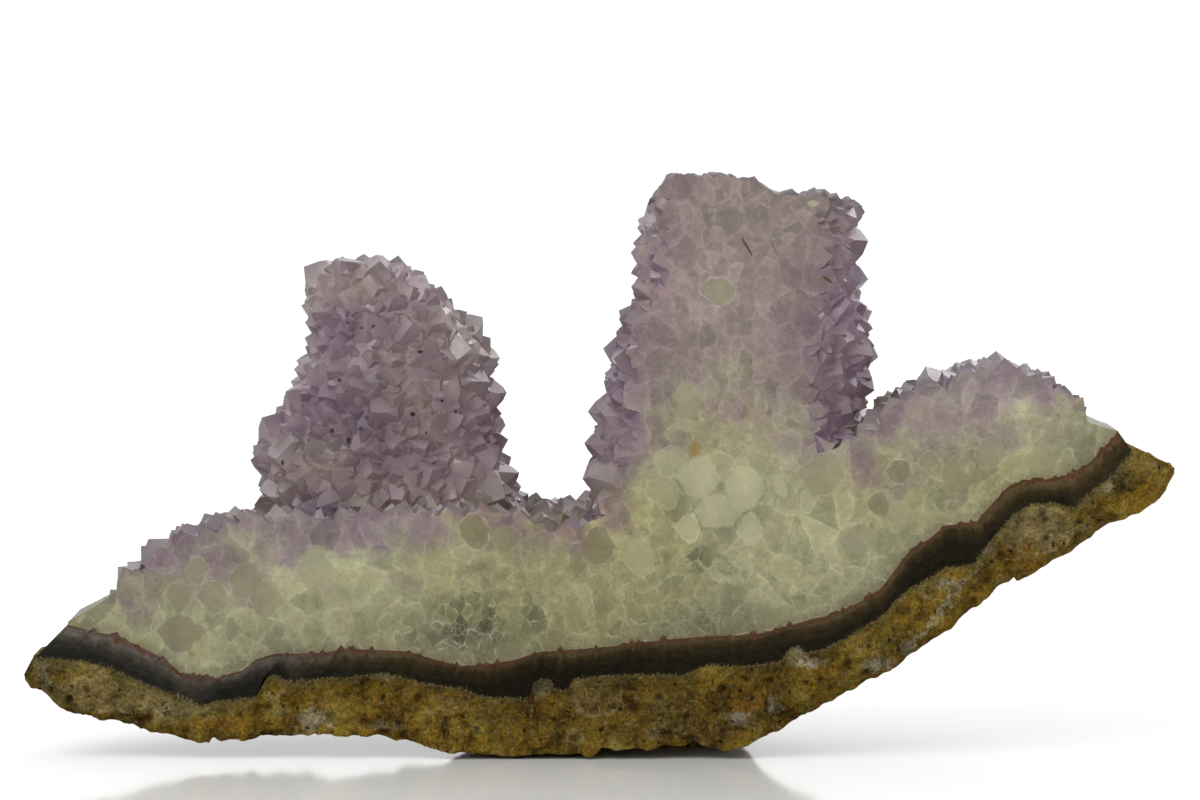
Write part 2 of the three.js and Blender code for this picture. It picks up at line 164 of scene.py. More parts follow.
# %% [markdown]
# ## Sheets and blocks
# Each layer lies between two sheets, and a sheet is a grid of points that starts on a line of the polished
# face and runs back into the stone. A block is the closed skin round the space between two sheets.
# Meshes made this way have even faces, which take roughness well.
# %% Sheets and blocks
def band_wave(x, row):
    return 1.6 * row * np.sin(x * 0.09 + 3.2 * row) + 3.5 * row * row


def bed_wave(x, row):
    return band_wave(x, row) + 1.5 * row * np.sin(x * 0.13 + 4 * row) - 8 * row**3


def underside_wave(x, row):
    rough = (1 + np.sin(x * 0.47 + row * 7) * np.sin(x * 0.19 + row * 13)) * np.minimum(1, row * 5)
    own = height_at(UNDERSIDE_LINE, x)
    first = np.where(x < 0, 0.14, 0.42)
    across = np.minimum(x - FOOT_LEFT + FOOT_SLOPE, FOOT_RIGHT + FOOT_SLOPE - x) / FOOT_SLOPE
    along = np.minimum(row - first + FOOT_EDGE, FOOT_BACK - row) / FOOT_EDGE
    in_foot = np.clip(np.minimum(across, along), 0, 1)
    foot = np.maximum(-own, rough - FOOT_CUT - 2 * row)
    return in_foot * foot + (1 - in_foot) * np.maximum(1.2 - own, rough + 7 * row**3)


def sheet(line, reach, wave, step, row_step, front=0.0):
    """Grid of points, stations by rows by 3, in mm of the frame."""
    length = line[-1][0] - line[0][0]
    share = np.linspace(0, 1, int(length / step) + 1)
    x = line[0][0] + share * length
    depth = height_at(DEPTH_LINE, x) * reach + 1.3 * np.sin(x * 0.31 + 9 * reach)
    rows = np.linspace(0, 1, int(DEEPEST / row_step) + 1)
    taper = np.minimum(1, END_TAPER * np.minimum(share, 1 - share))
    grid_x, grid_row = np.meshgrid(x, rows, indexing="ij")
    z = height_at(line, grid_x) + taper[:, None] * wave(grid_x, grid_row)
    y = front + grid_row * (depth[:, None] - front)
    return np.stack([grid_x + SHIFT_X, y + SAW_Y, z], axis=2)


def paired(lower, upper):
    """Both sheets with as many stations as the shorter one has."""
    pick = np.linspace(0, 1, min(len(lower), len(upper)))
    return [s[(pick * (len(s) - 1)).round().astype(int)] for s in (lower, upper)]


def block(lower, upper, levels):
    """Points and faces of the closed skin between two sheets, and each point's share of the height."""
    share = np.linspace(0, 1, levels + 1)
    points = lower[:, :, None] * (1 - share[:, None]) + upper[:, :, None] * share[:, None]
    skin = np.zeros(points.shape[:3], bool)
    skin[[0, -1]] = skin[:, [0, -1]] = skin[:, :, [0, -1]] = True
    ids = np.full(skin.shape, -1)
    ids[skin] = np.arange(skin.sum())
    faces = []
    for side, flip in (
        (ids[:, :, 0], True), (ids[:, :, -1], False), (ids[:, 0], False), (ids[:, -1], True),
        (ids[0], True), (ids[-1], False),
    ):
        quads = np.stack([side[:-1, :-1], side[1:, :-1], side[1:, 1:], side[:-1, 1:]], axis=-1).reshape(-1, 4)
        faces.append(quads[:, ::-1] if flip else quads)
    at = np.broadcast_to(share, skin.shape)[skin]
    row = np.broadcast_to(np.linspace(0, 1, lower.shape[1])[:, None], skin.shape)[skin]
    return points[skin], np.concatenate(faces), at, row


def make_object(name, points, faces, attributes=None):
    mesh = bpy.data.meshes.new(name)
    mesh.from_pydata((np.asarray(points) * MM).tolist(), [], [list(map(int, f)) for f in faces])
    for key, values in (attributes or {}).items():
        domain = "POINT" if len(values) == len(mesh.vertices) else "FACE"
        mesh.attributes.new(key, "FLOAT", domain).data.foreach_set("value", np.asarray(values, np.float32))
    made = bpy.data.objects.new(name, mesh)
    bpy.context.scene.collection.objects.link(made)
    print(name, len(mesh.vertices), "points,", len(mesh.polygons), "faces")
    return made


# %% [markdown]
# ## The basalt
# The host rock is brown, rotten basalt, full of pores. On the sawn side the pores are open pits, so points
# there are only pushed inwards. Underneath it is rough all over, apart from the flat that it stands on.
# %% The basalt
BASALT_STEPS = (0.55, 1.5)  # mm between points along the stone, and back into it
BASALT_LEVELS = 30  # faces from the lower to the upper sheet
BEHIND_AGATE = 0.35  # mm that the rock reaches up behind the agate
FLUSH_WITHIN = 3  # mm under the agate
RAGGED_BELOW = 0.3  # the share of the height where the lower edge is ragged
RAGGED_LEFT, RAGGED_RIGHT = -78, 84  # the lower edge is broken back further outside these


def make_basalt():
    lower, upper = paired(
        sheet(UNDERSIDE_LINE, UNDERSIDE_REACH, underside_wave, *BASALT_STEPS, front=0.05),
        sheet(BASALT_TOP_LINE, 1, band_wave, *BASALT_STEPS, front=0.05),
    )
    x = upper[:, 0, 0] - SHIFT_X
    own = height_at(BASALT_TOP_LINE, x)
    rise = np.maximum(height_at(BASALT_TOP_LINE, x - 0.5), height_at(BASALT_TOP_LINE, x + 0.5)) - own
    upper[:, :, 2] += BEHIND_AGATE + rise[:, None]  # the agate covers this edge, so no gap shows between them
    points, faces, at, row = block(lower, upper, BASALT_LEVELS)
    height = np.interp(points[:, 0], upper[:, 0, 0], upper[:, 0, 2] - lower[:, 0, 2])
    coarse = roughness_at(points, 7, 1)
    fine = roughness_at(points, 2.2, 2)
    pits = np.clip(roughness_at(points, 1.8, 3, 1) - 0.3, 0, 1)
    relief = np.clip(1.3 + 1.5 * coarse + 1.1 * fine + 2.0 * pits, 0.05, 4.5)
    on_face = row == 0
    below = (at < 0.5) & ~on_face
    # The saw left no step where the rock meets the agate
    flush = np.clip((1 - at) * height / FLUSH_WITHIN, 0.05, 1)
    points[on_face, 1] += (flush * relief)[on_face]
    points[below, 2] += 0.8 * coarse[below] + 0.45 * fine[below]
    edge = on_face & (at < RAGGED_BELOW)
    ends = (points[:, 0] < RAGGED_LEFT) | (points[:, 0] > RAGGED_RIGHT)
    ragged = 0.8 * coarse + 0.8 * fine - np.where(ends, 1.3, 0.3)
    points[edge, 2] += ((1 - at / RAGGED_BELOW) * ragged)[edge]
    back = row == 1
    points[back, 1] += 1.2 * coarse[back] + 0.5 * fine[back] - 0.8
    points[:, 2] = np.maximum(points[:, 2], 0)
    # The pits' depth goes to the material, which turns it into painted shade in the pits and painted light on
    # the high parts
    keep = {"under_agate": (1 - at) * height, "hollow": relief}
    return make_object("basalt_matrix_stone", points, faces, keep)


basalt = make_basalt()

# %% [markdown]
# ## The agate band
# Agate is silica laid down in thin layers on the wall of the hollow. Its top edge is finely saw-toothed,
# where the first small quartz crystals grew, and its lower edge follows the bumps of the basalt. Each point
# keeps how far it is below the top edge and above the rock, so that the material can follow the layers.
# %% The agate band
AGATE_STEPS, AGATE_LEVELS = (0.3, 4.5), 12  # as in the basalt
OVER_BASALT = 0.35  # mm that the band reaches down in front of the basalt's edge


def make_agate():
    lower, upper = paired(
        sheet(BASALT_TOP_LINE, 1, band_wave, *AGATE_STEPS),
        sheet(AGATE_TOP_LINE, 1, band_wave, *AGATE_STEPS),
    )
    x = upper[:, 0, 0]
    line = np.stack([x, 0 * x, 0 * x], axis=1)
    teeth = 2.4 * np.clip(roughness_at(line, 0.9, 5, 2) - 0.05, 0, 0.4)
    teeth = teeth + 0.2 * roughness_at(line, 4, 6, 1) - 0.1
    upper[:, :, 2] += teeth[:, None]
    lower[:, :, 2] += (0.3 * roughness_at(line, 1.7, 8, 2) - OVER_BASALT)[:, None]
    points, faces, at, _ = block(lower, upper, AGATE_LEVELS)
    height = np.interp(points[:, 0], x, upper[:, 0, 2] - lower[:, 0, 2])
    below_top = (1 - at) * height - np.interp(points[:, 0], x, teeth)  # the layers don't follow the teeth
    return make_object("agate_band_stone", points, faces, {"below_top": below_top, "above_rock": at * height})


agate = make_agate()

# %% [markdown]
# ## One function for nodes
# Geometry Nodes and materials are both trees of nodes. One small function adds a node, sets its settings
# and fills its inputs: an input that is given another node's output is linked, any other is set. Inputs are
# given in order, or by name or number in a dict. A kind is written as "Math ADD" where the node has an
# operation, and kinds without a family are shader nodes.
# %% Nodes
def add(tree, kind, *inputs, out=0, **settings):
    kind, _, operation = kind.partition(" ")
    node = tree.nodes.new(kind if "Node" in kind else "ShaderNode" + kind)
    if operation:
        node.operation = operation
    for key, value in settings.items():
        setattr(node, key, value)
    given = inputs[0] if inputs and isinstance(inputs[0], dict) else dict(enumerate(inputs))
    for key, value in given.items():
        for item in value if isinstance(value, list) else [value]:
            if isinstance(item, bpy.types.NodeSocket):
                tree.links.new(item, node.inputs[key])
            else:
                node.inputs[key].default_value = item
    return node.outputs[out] if len(node.outputs) > out else node


# %% [markdown]
# ## The bed under the crystals
# The crystals grow on a bed: the layer over the agate, and two stalactites, each a stack of rounded rings.
# Faces that may carry crystals are marked with the attribute "grows". The saw and the break are solids too.
# They are taken away later, and what they cut is bare because their own faces are marked 0.
# %% The bed, the saw and the break
LEFT_STALACTITE = [
    # each ring's height, its centre's x and y, and its half widths, in mm
    (38, -43, 27, 27, 23), (53, -43.4, 27, 25.6, 22), (61, -45, 27, 24.6, 21), (71, -42.4, 27, 20.6, 18.5),
    (77, -42.4, 26.4, 19.6, 17.2), (82, -41.4, 26, 18, 16), (90, -44.8, 26, 14.4, 13),
    (96.5, -48.2, 26, 11, 10), (100.4, -47.8, 26, 6, 6),
]
RIGHT_STALACTITE = [
    (44, 27, 14, 29, 21), (58, 27, 14, 27.2, 20), (70, 27, 13, 25.8, 19.5), (82, 27.7, 13, 25.4, 19),
    (95, 30.4, 12, 21.8, 18), (108, 30.4, 11, 21.4, 17), (126, 30.6, 10, 21, 16),
]
RIGHT_SKEW = 0.22  # mm to the right for each mm further back
BREAK_LINE = [
    (0, 97), (6, 106), (10, 113.6), (13, 117.2), (17, 118.4), (24, 118.6), (29, 116.6), (35, 114.8),
    (44, 114.2), (52, 113.4), (60, 111),
]
BREAK_FALL_BACK = 0.12  # mm lower for each mm further back
GROWTH = -0.8  # mm added to the rings' half widths: below zero, as the crystals here stand out further
RING_SIDES, RING_STEP = 40, 2.5  # points in a ring, and mm from ring to ring
BED_STEPS, BED_LEVELS = (1.5, 3), 14
INTO_AGATE = 0.3  # mm that the bed reaches down behind the agate's teeth
CRYSTALS_FROM, CRYSTALS_TO = -98, 96  # the bed is too thin for crystals outside these
BREAK_STEP = 1.1  # mm between the points of the break


def make_stalactite(name, rings, skew, seed):
    z = np.arange(rings[0][0], rings[-1][0] + 0.1, RING_STEP)
    column = [np.interp(z, [r[0] for r in rings], [r[k] for r in rings]) for k in range(1, 5)]
    turn = np.arange(RING_SIDES) / RING_SIDES * 2 * np.pi
    cx, cy, rx, ry = (c[:, None] for c in column)
    bulge = 1 + 0.045 * np.sin(3 * turn + z[:, None] * 0.17)
    back = (ry + GROWTH) * bulge * np.sin(turn)
    x = cx + (rx + GROWTH) * bulge * np.cos(turn) + skew * back + SHIFT_X
    points = np.stack([x, cy + back + SAW_Y, np.broadcast_to(z[:, None], x.shape)], axis=2).reshape(-1, 3)
    points[:, :2] += 0.9 * roughness_at(points, 9, seed, 2)[:, None] * [1, 0.6]
    ids = np.arange(len(points)).reshape(len(z), RING_SIDES)
    around = np.roll(ids, -1, axis=1)
    faces = np.stack([ids[:-1], around[:-1], around[1:], ids[1:]], axis=-1).reshape(-1, 4).tolist()
    faces += [ids[0, ::-1].tolist(), ids[-1].tolist()]
    return make_object(name, points, faces, {"grows": np.ones(len(faces))})


def make_bed():
    lower, upper = paired(
        sheet(AGATE_TOP_LINE, 1, band_wave, *BED_STEPS),
        sheet(QUARTZ_TOP_LINE, BED_REACH, bed_wave, *BED_STEPS),
    )
    lower[:, :, 2] -= INTO_AGATE
    thickness = np.minimum(1, (upper[..., 2] - lower[..., 2]) / 12)
    lumps = 1.7 * roughness_at(upper.reshape(-1, 3), 7, 13).reshape(thickness.shape) + 0.5
    upper[..., 2] += lumps * thickness
    points, faces, at, row = block(lower, upper, BED_LEVELS)
    back = (row == 1) & (at > 0) & (at < 1)
    rubble = 2.2 * roughness_at(points, 9, 11) + 3.0 * roughness_at(points, 3.4, 14, 2) - 2.2
    points[back, 1] += rubble[back]
    middles = points[faces].mean(axis=1)
    x = middles[:, 0] - SHIFT_X
    on_top = at[faces].min(axis=1) > 0.95
    thick = (x > CRYSTALS_FROM) & (x < CRYSTALS_TO)
    return make_object("quartz_bed", points, faces, {"grows": (on_top & thick).astype(float)})


def make_saw():
    low, high = np.array([-200.0, -200, -50]), np.array([200.0, SAW_Y + 0.03, 200])
    corners = np.array(list(itertools.product(*zip(low, high))))
    faces = [(0, 1, 3, 2), (4, 6, 7, 5), (0, 4, 5, 1), (2, 3, 7, 6), (0, 2, 6, 4), (1, 5, 7, 3)]
    return make_object("saw_cut", corners, faces, {"grows": np.zeros(6)})


def make_break():
    x, y = np.meshgrid(np.arange(0, 62, BREAK_STEP), np.arange(-8, 50, BREAK_STEP), indexing="ij")
    z = height_at(BREAK_LINE, x) - y * BREAK_FALL_BACK
    lower = np.stack([x + SHIFT_X, y + SAW_Y, z], axis=2)
    flat = lower.reshape(-1, 3)
    lower[..., 2] += (3.0 * roughness_at(flat, 2.6, 12) - 0.5).reshape(x.shape)
    lower[..., 2] = np.minimum(lower[..., 2], cad_high.z / MM - 0.15)
    upper = lower.copy()
    upper[..., 2] = 200
    points, faces, _, _ = block(lower, upper, 1)
    return make_object("break", points, faces, {"grows": np.zeros(len(faces))})


bed = make_bed()
left = make_stalactite("left_stalactite", LEFT_STALACTITE, 0, 21)
right = make_stalactite("right_stalactite", RIGHT_STALACTITE, RIGHT_SKEW, 22)
saw, broken = make_saw(), make_break()

# %% [markdown]
# ## Quartz points
# A quartz crystal is a six-sided prism that ends in three large and three small faces. Each is tilted 51.8
# degrees from the plane across the crystal. The helper finds the corners where three of these planes meet
# and wraps a hull round them. A few uneven ones are enough, because no two are then turned alike.
# %% Quartz points
END_FACE_TILT = math.radians(51.8)
POINT_KINDS = 7


def make_point(index, draw):
    planes = [(Vector((0, 0, -1)), 1.0)]
    small = 0.02 + 0.14 * draw.random()
    for k in range(6):
        out = Vector((math.cos(k * math.pi / 3), math.sin(k * math.pi / 3), 0))
        planes.append((out, 0.5 + 0.06 * draw.random()))
        end = out * math.sin(END_FACE_TILT) + Vector((0, 0, math.cos(END_FACE_TILT)))
        planes.append((end, (small if k % 2 else 0) + 0.05 * draw.random()))
    form = bmesh.new()
    for (n1, d1), (n2, d2), (n3, d3) in itertools.combinations(planes, 3):
        volume = n1.dot(n2.cross(n3))
        if abs(volume) < 1e-6:
            continue
        corner = (n2.cross(n3) * d1 + n3.cross(n1) * d2 + n1.cross(n2) * d3) / volume
        if all(n.dot(corner) <= d + 1e-6 for n, d in planes):
            form.verts.new(corner * MM)
    bmesh.ops.remove_doubles(form, verts=form.verts, dist=1e-7)
    bmesh.ops.convex_hull(form, input=form.verts)
    bmesh.ops.dissolve_limit(form, angle_limit=0.01, verts=form.verts, edges=form.edges)
    bmesh.ops.recalc_face_normals(form, faces=form.faces)
    mesh = bpy.data.meshes.new(f"quartz_point_{index}")
    form.to_mesh(mesh)
    form.free()
    mesh.attributes.new("grows", "FLOAT", "FACE").data.foreach_set("value", [1.0] * len(mesh.polygons))
    return bpy.data.objects.new(mesh.name, mesh)


draw = np.random.default_rng(4)
kinds = bpy.data.collections.new("quartz points")
for index in range(POINT_KINDS):
    kinds.objects.link(make_point(index, draw))

# %% [markdown]
# ## Growing the crystals
# A Geometry Nodes tree covers the bed: it scatters places on the faces marked to grow, puts a turned and
# scaled quartz point on each, and joins all of them and the bed into one solid. The saw and the break are
# taken off last, as on the real stone, so that cut crystals are flat. Real druse has a few large points
# with small ones between them, so the same steps run for each of a list of sizes.
# %% The tree
SIZES = [
    # spacing, then smallest and largest width, in mm
    {"name": "Large", "spacing": 6.8, "width": (6.4, 9.0)},
    {"name": "Middle", "spacing": 4.4, "width": (4.2, 6.2)},
    {"name": "Small", "spacing": 3.0, "width": (2.8, 3.9)},
]
SIZE_PARTS = ("spacing", "smallest width", "largest width")
STEEPEST_UNDER = -0.35  # crystals grow where the upward part of the normal is more than this
MOST_POINTS = 4e5  # a square metre, before the spacing thins them out


def grow_tree():
    tree = bpy.data.node_groups.new("Amethyst druse", "GeometryNodeTree")
    sockets = {"Bed": "Geometry"}
    sockets |= dict.fromkeys(("Left stalactite", "Right stalactite", "Saw", "Break"), "Object")
    sockets["Points"] = "Collection"
    sockets |= {f"{size['name']} {part}": "Float" for size in SIZES for part in SIZE_PARTS}
    sockets |= {"Lean": "Float", "Lift": "Float", "Seed": "Int"}
    sockets |= {"Druse material": "Material", "Sawn material": "Material"}
    for name, kind in sockets.items():
        tree.interface.new_socket(name, in_out="INPUT", socket_type=f"NodeSocket{kind}")
    tree.interface.new_socket("Druse", in_out="OUTPUT", socket_type="NodeSocketGeometry")
    given = tree.nodes.new("NodeGroupInput").outputs

    meshes = {
        name: add(tree, "GeometryNodeObjectInfo", {"Object": given[name]}, out=4)
        for name, kind in sockets.items() if kind == "Object"
    }
    whole = {1: [given["Bed"], meshes["Left stalactite"], meshes["Right stalactite"]]}
    whole = add(tree, "GeometryNodeMeshBoolean UNION", whole, solver="MANIFOLD")
    cutters = [meshes["Saw"], meshes["Break"]]
    ground = add(tree, "GeometryNodeMeshBoolean DIFFERENCE", whole, cutters, solver="MANIFOLD")
    grows = add(tree, "GeometryNodeInputNamedAttribute", {"Name": "grows"}, data_type="FLOAT")
    up = add(tree, "SeparateXYZ", add(tree, "GeometryNodeInputNormal"), out=2)
    not_under = add(tree, "FunctionNodeCompare GREATER_THAN", up, STEEPEST_UNDER)
    not_sawn = add(tree, "FunctionNodeCompare GREATER_THAN", grows, 0.5)
    may_grow = add(tree, "FunctionNodeBooleanMath AND", not_under, not_sawn)
    kinds_in = add(
        tree, "GeometryNodeCollectionInfo",
        {"Collection": given["Points"], "Separate Children": True, "Reset Children": True},
    )
    crystals = []
    for step, size in enumerate(SIZES):
        spacing, smallest, largest = (given[f"{size['name']} {part}"] for part in SIZE_PARTS)
        seed = add(tree, "Math ADD", given["Seed"], 10.0 * step)
        scatter = {"Mesh": ground, "Selection": may_grow, "Distance Min": spacing, "Seed": seed}
        scatter["Density Max"] = MOST_POINTS
        spots = add(tree, "GeometryNodeDistributePointsOnFaces", scatter, distribute_method="POISSON")
        spots = spots.node.outputs
        lean = {0: (-1, -1, -1), 1: (1, 1, 1), 8: 11 + step}
        lean = add(tree, "FunctionNodeRandomValue", lean, data_type="FLOAT_VECTOR")
        lean = add(tree, "VectorMath SCALE", {0: lean, 3: given["Lean"]})
        way = add(tree, "VectorMath ADD", spots["Normal"], lean)
        turn = add(tree, "FunctionNodeAlignRotationToVector", {2: way}, axis="Z")
        spin = add(tree, "FunctionNodeRandomValue", {2: 0.0, 3: 6.283, 8: 21 + step}, out=1)
        spin = add(tree, "CombineXYZ", {2: spin})
        turn = add(tree, "FunctionNodeRotateRotation", turn, spin, rotation_space="LOCAL")
        width = add(tree, "FunctionNodeRandomValue", {2: smallest, 3: largest, 8: step}, out=1)
        kind = {4: 0, 5: POINT_KINDS - 1, 8: 31 + step}
        kind = add(tree, "FunctionNodeRandomValue", kind, out=2, data_type="INT")
        placed = {0: spots["Points"], 2: kinds_in, 3: True, 4: kind, 5: turn, 6: width}
        placed = add(tree, "GeometryNodeInstanceOnPoints", placed)
        lift = add(tree, "CombineXYZ", {2: given["Lift"]})
        moved = {"Instances": placed, "Translation": lift, "Local Space": True}
        crystals.append(add(tree, "GeometryNodeTranslateInstances", moved))
    grown = add(tree, "GeometryNodeMeshBoolean UNION", {1: [ground, *crystals]}, solver="MANIFOLD")
    stone = add(tree, "GeometryNodeMeshBoolean DIFFERENCE", grown, cutters, solver="MANIFOLD")
    near = add(tree, "GeometryNodeProximity", ground, out=1, target_element="FACES")
    standing = {"Geometry": stone, "Name": "standing", "Value": near}
    stone = add(tree, "GeometryNodeStoreNamedAttribute", standing, domain="POINT")
    place = add(tree, "SeparateXYZ", add(tree, "GeometryNodeInputPosition"), out=1)
    front = add(tree, "FunctionNodeCompare LESS_THAN", place, (SAW_Y + 0.05) * MM)
    stone = add(tree, "GeometryNodeRealizeInstances", stone)
    stone = add(tree, "GeometryNodeSetMaterial", {0: stone, 2: given["Druse material"]})
    stone = add(tree, "GeometryNodeSetMaterial", stone, front, given["Sawn material"])
    add(tree, "NodeGroupOutput", stone)
    return tree


tree = grow_tree()
print(len(tree.nodes), "nodes in the tree")

# %% [markdown]
# ## Running the tree
# The modifier's inputs are set by their identifiers before the object is first evaluated. The result is
# kept as a plain mesh, and the helpers are deleted. The tips stand out of the bed by about half a width.
# %% Run the tree
LEAN, LIFT, SEED = 0.22, 0.36 * MM, 3


def grow(materials):
    modifier = bed.modifiers.new("grow", "NODES")
    modifier.node_group = tree
    values = {"Left stalactite": left, "Right stalactite": right, "Saw": saw, "Break": broken}
    values["Points"] = kinds
    for size in SIZES:
        names = (f"{size['name']} {part}" for part in SIZE_PARTS)
        values |= zip(names, (size["spacing"] * MM, *size["width"]))
    values |= {"Lean": LEAN, "Lift": LIFT, "Seed": SEED}
    values |= {"Druse material": materials[0], "Sawn material": materials[1]}
    for item in tree.interface.items_tree:
        if item.in_out == "INPUT" and item.name in values:
            modifier[item.identifier] = values[item.name]
    evaluated = bed.evaluated_get(bpy.context.evaluated_depsgraph_get())
    mesh = bpy.data.meshes.new_from_object(evaluated)
    for helper in (bed, left, right, saw, broken, *kinds.objects):
        bpy.data.objects.remove(helper)
    mesh.name = "amethyst_druse_stone"
    made = bpy.data.objects.new("amethyst_druse_stone", mesh)
    bpy.context.scene.collection.objects.link(made)
    return made


# %% [markdown]
# ## Colour
# Colours are written as the sRGB hex values that a paint program shows. Blender works in linear light, so
# one function turns them over. Every stone here is a base colour under coats. A coat with a share and a
# colour covers what is under it by that share, and a coat that is one value makes it lighter or darker.
# %% Colour
def linear(code):
    parts = (int(code[k : k + 2], 16) / 255 for k in (1, 3, 5))
    return (*(c / 12.92 if c <= 0.04045 else ((c + 0.055) / 1.055) ** 2.4 for c in parts), 1.0)


def new_material(name):
    made = bpy.data.materials.new(name)
    made.use_nodes = True
    made.node_tree.nodes.clear()
    return made, made.node_tree


def coated(tree, base, *coats):
    for coat in coats:
        if isinstance(coat, tuple):
            share, colour = coat
            colour = linear(colour) if isinstance(colour, str) else colour
            base = add(tree, "Mix", {0: share, 6: base, 7: colour}, out=2, data_type="RGBA")
        else:
            base = add(tree, "VectorMath SCALE", {0: base, 3: coat})
    return base


def tinted(tree, base, share, low, high):
    """A colour with its red, green and blue times low where the share is 0, and times high where it is 1."""
    low, high = (add(tree, "VectorMath MULTIPLY", base, factors) for factors in (low, high))
    return coated(tree, low, (share, high))


def layer_colour(tree, value, layers):
    """The colour at a value, from a list of (value, colour) layers that blend into each other."""
    last = max(1, layers[-1][0])
    share = add(tree, "Math DIVIDE", value, last)
    ramp = add(tree, "ValToRGB", share).node
    for k, (at, code) in enumerate(layers):
        stop = ramp.color_ramp.elements[k] if k < 2 else ramp.color_ramp.elements.new(at / last)
        stop.position, stop.color = at / last, linear(code)
    return ramp.outputs[0]


print("ochre in linear light:", [round(v, 3) for v in linear("#5b4919")])

# %% [markdown]
# ## Places, noise and spots
# Patterns read Object coordinates, turned into mm. The polished face is flat, so its patterns need only x
# and z: cheaper 2-D textures do. Noise makes a pattern uneven and bends edges that would look drawn. What
# makes this one stone recognisable, such as a large clear crystal or a rust spot, is placed as an
# ellipse, and the helper gives how far outside its edge a point is.
# %% Places, noise and spots
CORNER_ROUNDING = 0.6  # how soft the corners of a six-sided spot are
ZONE_EDGE = (4.0, -5.0)  # mm outside and inside the ellipse between which a zone fades in


def places(tree):
    here = add(tree, "TexCoord", out=3)
    solid = add(tree, "VectorMath SCALE", {0: here, 3: 1 / MM})
    split = add(tree, "SeparateXYZ", solid).node.outputs
    flat = add(tree, "CombineXYZ", split[0], split[2])
    return solid, flat, split


def uneven(tree, between, to, where, scale, detail, roughness=0.5, dimensions="3D"):
    """Noise with its values between two limits spread over another range, and held at the ends of it."""
    inputs = {"Vector": where, "Scale": scale, "Detail": detail, "Roughness": roughness}
    noise = add(tree, "TexNoise", inputs, noise_dimensions=dimensions)
    return add(tree, "MapRange", noise, *between, *to)


def bent(tree, most, where, scale, detail, roughness=0.5, dimensions="3D"):
    """A shift across the polished face by up to that many mm, from the colours of a noise."""
    inputs = {"Vector": where, "Scale": scale, "Detail": detail, "Roughness": roughness}
    noise = add(tree, "TexNoise", inputs, out=1, noise_dimensions=dimensions)
    return add(tree, "VectorMath MULTIPLY_ADD", noise, (2 * most, 2 * most, 0), (-most, -most, 0))


def outside_spot(tree, flat, x, z, wide, high, six_sided=False):
    middle = (-2 * (x + SHIFT_X) / wide, -2 * z / high, 0)
    unit = add(tree, "VectorMath MULTIPLY_ADD", flat, (2 / wide, 2 / high, 0), middle)
    if six_sided:
        unit = add(tree, "VectorMath ABSOLUTE", unit)
        slant = add(tree, "VectorMath DOT_PRODUCT", unit, (1, 0.577, 0), out=1)
        upright = add(tree, "VectorMath DOT_PRODUCT", unit, (0, 1, 0), out=1)
        far = add(tree, "Math SMOOTH_MAX", slant, upright, CORNER_ROUNDING)
    else:
        far = add(tree, "VectorMath LENGTH", unit, out=1)
    size = (wide + high) / 4
    return add(tree, "Math MULTIPLY_ADD", far, size, -size)


def nearest_spot(tree, flat, spots, six_sided=False):
    """Distance outside the nearest of some ellipses, with that ellipse's own further numbers."""
    best = None
    for x, z, wide, high, *own in spots:
        far = outside_spot(tree, flat, x, z, wide, high, six_sided)
        if best is None:
            best, found = far, list(own)
            continue
        closer = add(tree, "Math LESS_THAN", far, best)
        found = [add(tree, "Mix", {0: closer, 2: old, 3: new}) for old, new in zip(found, own)]
        best = add(tree, "Math MINIMUM", best, far)
    return best, *found


def soft_zones(tree, flat, zones, start=1.0):
    """A factor round the start, raised or lowered by some broad ellipses with soft edges."""
    total = start
    for x, z, wide, high, amount in zones:
        far = outside_spot(tree, flat, x, z, wide, high)
        share = add(tree, "MapRange", far, *ZONE_EDGE, interpolation_type="SMOOTHSTEP")
        total = add(tree, "Math MULTIPLY_ADD", share, amount, total)
    return total


def streaked(tree, flat, base, streaks, soft_edge, colour):
    """A colour with straight marks on it, each an ellipse turned by its slope."""
    for x, z, long, wide, slope, share in streaks:
        about = {0: flat, 1: (x + SHIFT_X, z, 0), 3: -math.radians(slope)}
        turned = add(tree, "VectorRotate", about, rotation_type="Z_AXIS")
        far = outside_spot(tree, turned, x, z, long, wide)
        mark = add(tree, "MapRange", far, *soft_edge, 0.0, share)
        base = coated(tree, base, (mark, colour))
    return base


def line_curve(tree, value, points, low, high, top):
    """Straight pieces through (input, output) points: inputs from low to high, outputs from 0 to top."""
    share = add(tree, "MapRange", value, low, high)
    made = add(tree, "FloatCurve", {1: share}).node
    curve = made.mapping.curves[0]
    shown = [((x - low) / (high - low), z / top) for x, z in points]
    curve.points[0].location, curve.points[1].location = shown[0], shown[-1]
    for spot in shown[1:-1]:
        curve.points.new(*spot)
    for point in curve.points:
        point.handle_type = "VECTOR"
    made.mapping.update()
    return add(tree, "Math MULTIPLY", made.outputs[0], top)


print("spots are placed in mm from the foot's middle, which is at x", round(SHIFT_X, 2), "mm")

# %% [markdown]
# ## Where the quartz is cream, mauve and purple
# The same quartz is greenish cream over the agate, mauve-grey higher up and purple under the crystals, as
# iron came late in its growth. One curve gives the height where cream ends, across the stone. Two more give
# the sides of the sawn stalactite, and the line of the bed gives the rest of the outer surface. Over these
# lie a few broad zones that are a little greener or redder than the rest.
# %% Zones of the quartz
CREAM_TO = [
    (-120, 46), (-98, 42), (-93, 39), (-88, 37), (-80, 38), (-70, 42), (-60, 44), (-40, 46), (-20, 48),
    (-6, 50), (4, 55), (9, 64), (16, 72), (24, 76), (34, 70), (46, 63), (56, 63), (66, 64), (80, 67),
    (90, 73), (98, 80), (120, 90),
]
LEFT_SIDE = [
    (55, 0), (62, 2.3), (72, 7.3), (82, 8.3), (93, 9.3), (108, 11.3), (120, 13),
]
RIGHT_SIDE = [
    (55, 56), (68, 50.3), (82, 40.3), (93, 42), (101, 44.3), (110, 51.3), (120, 53),
]
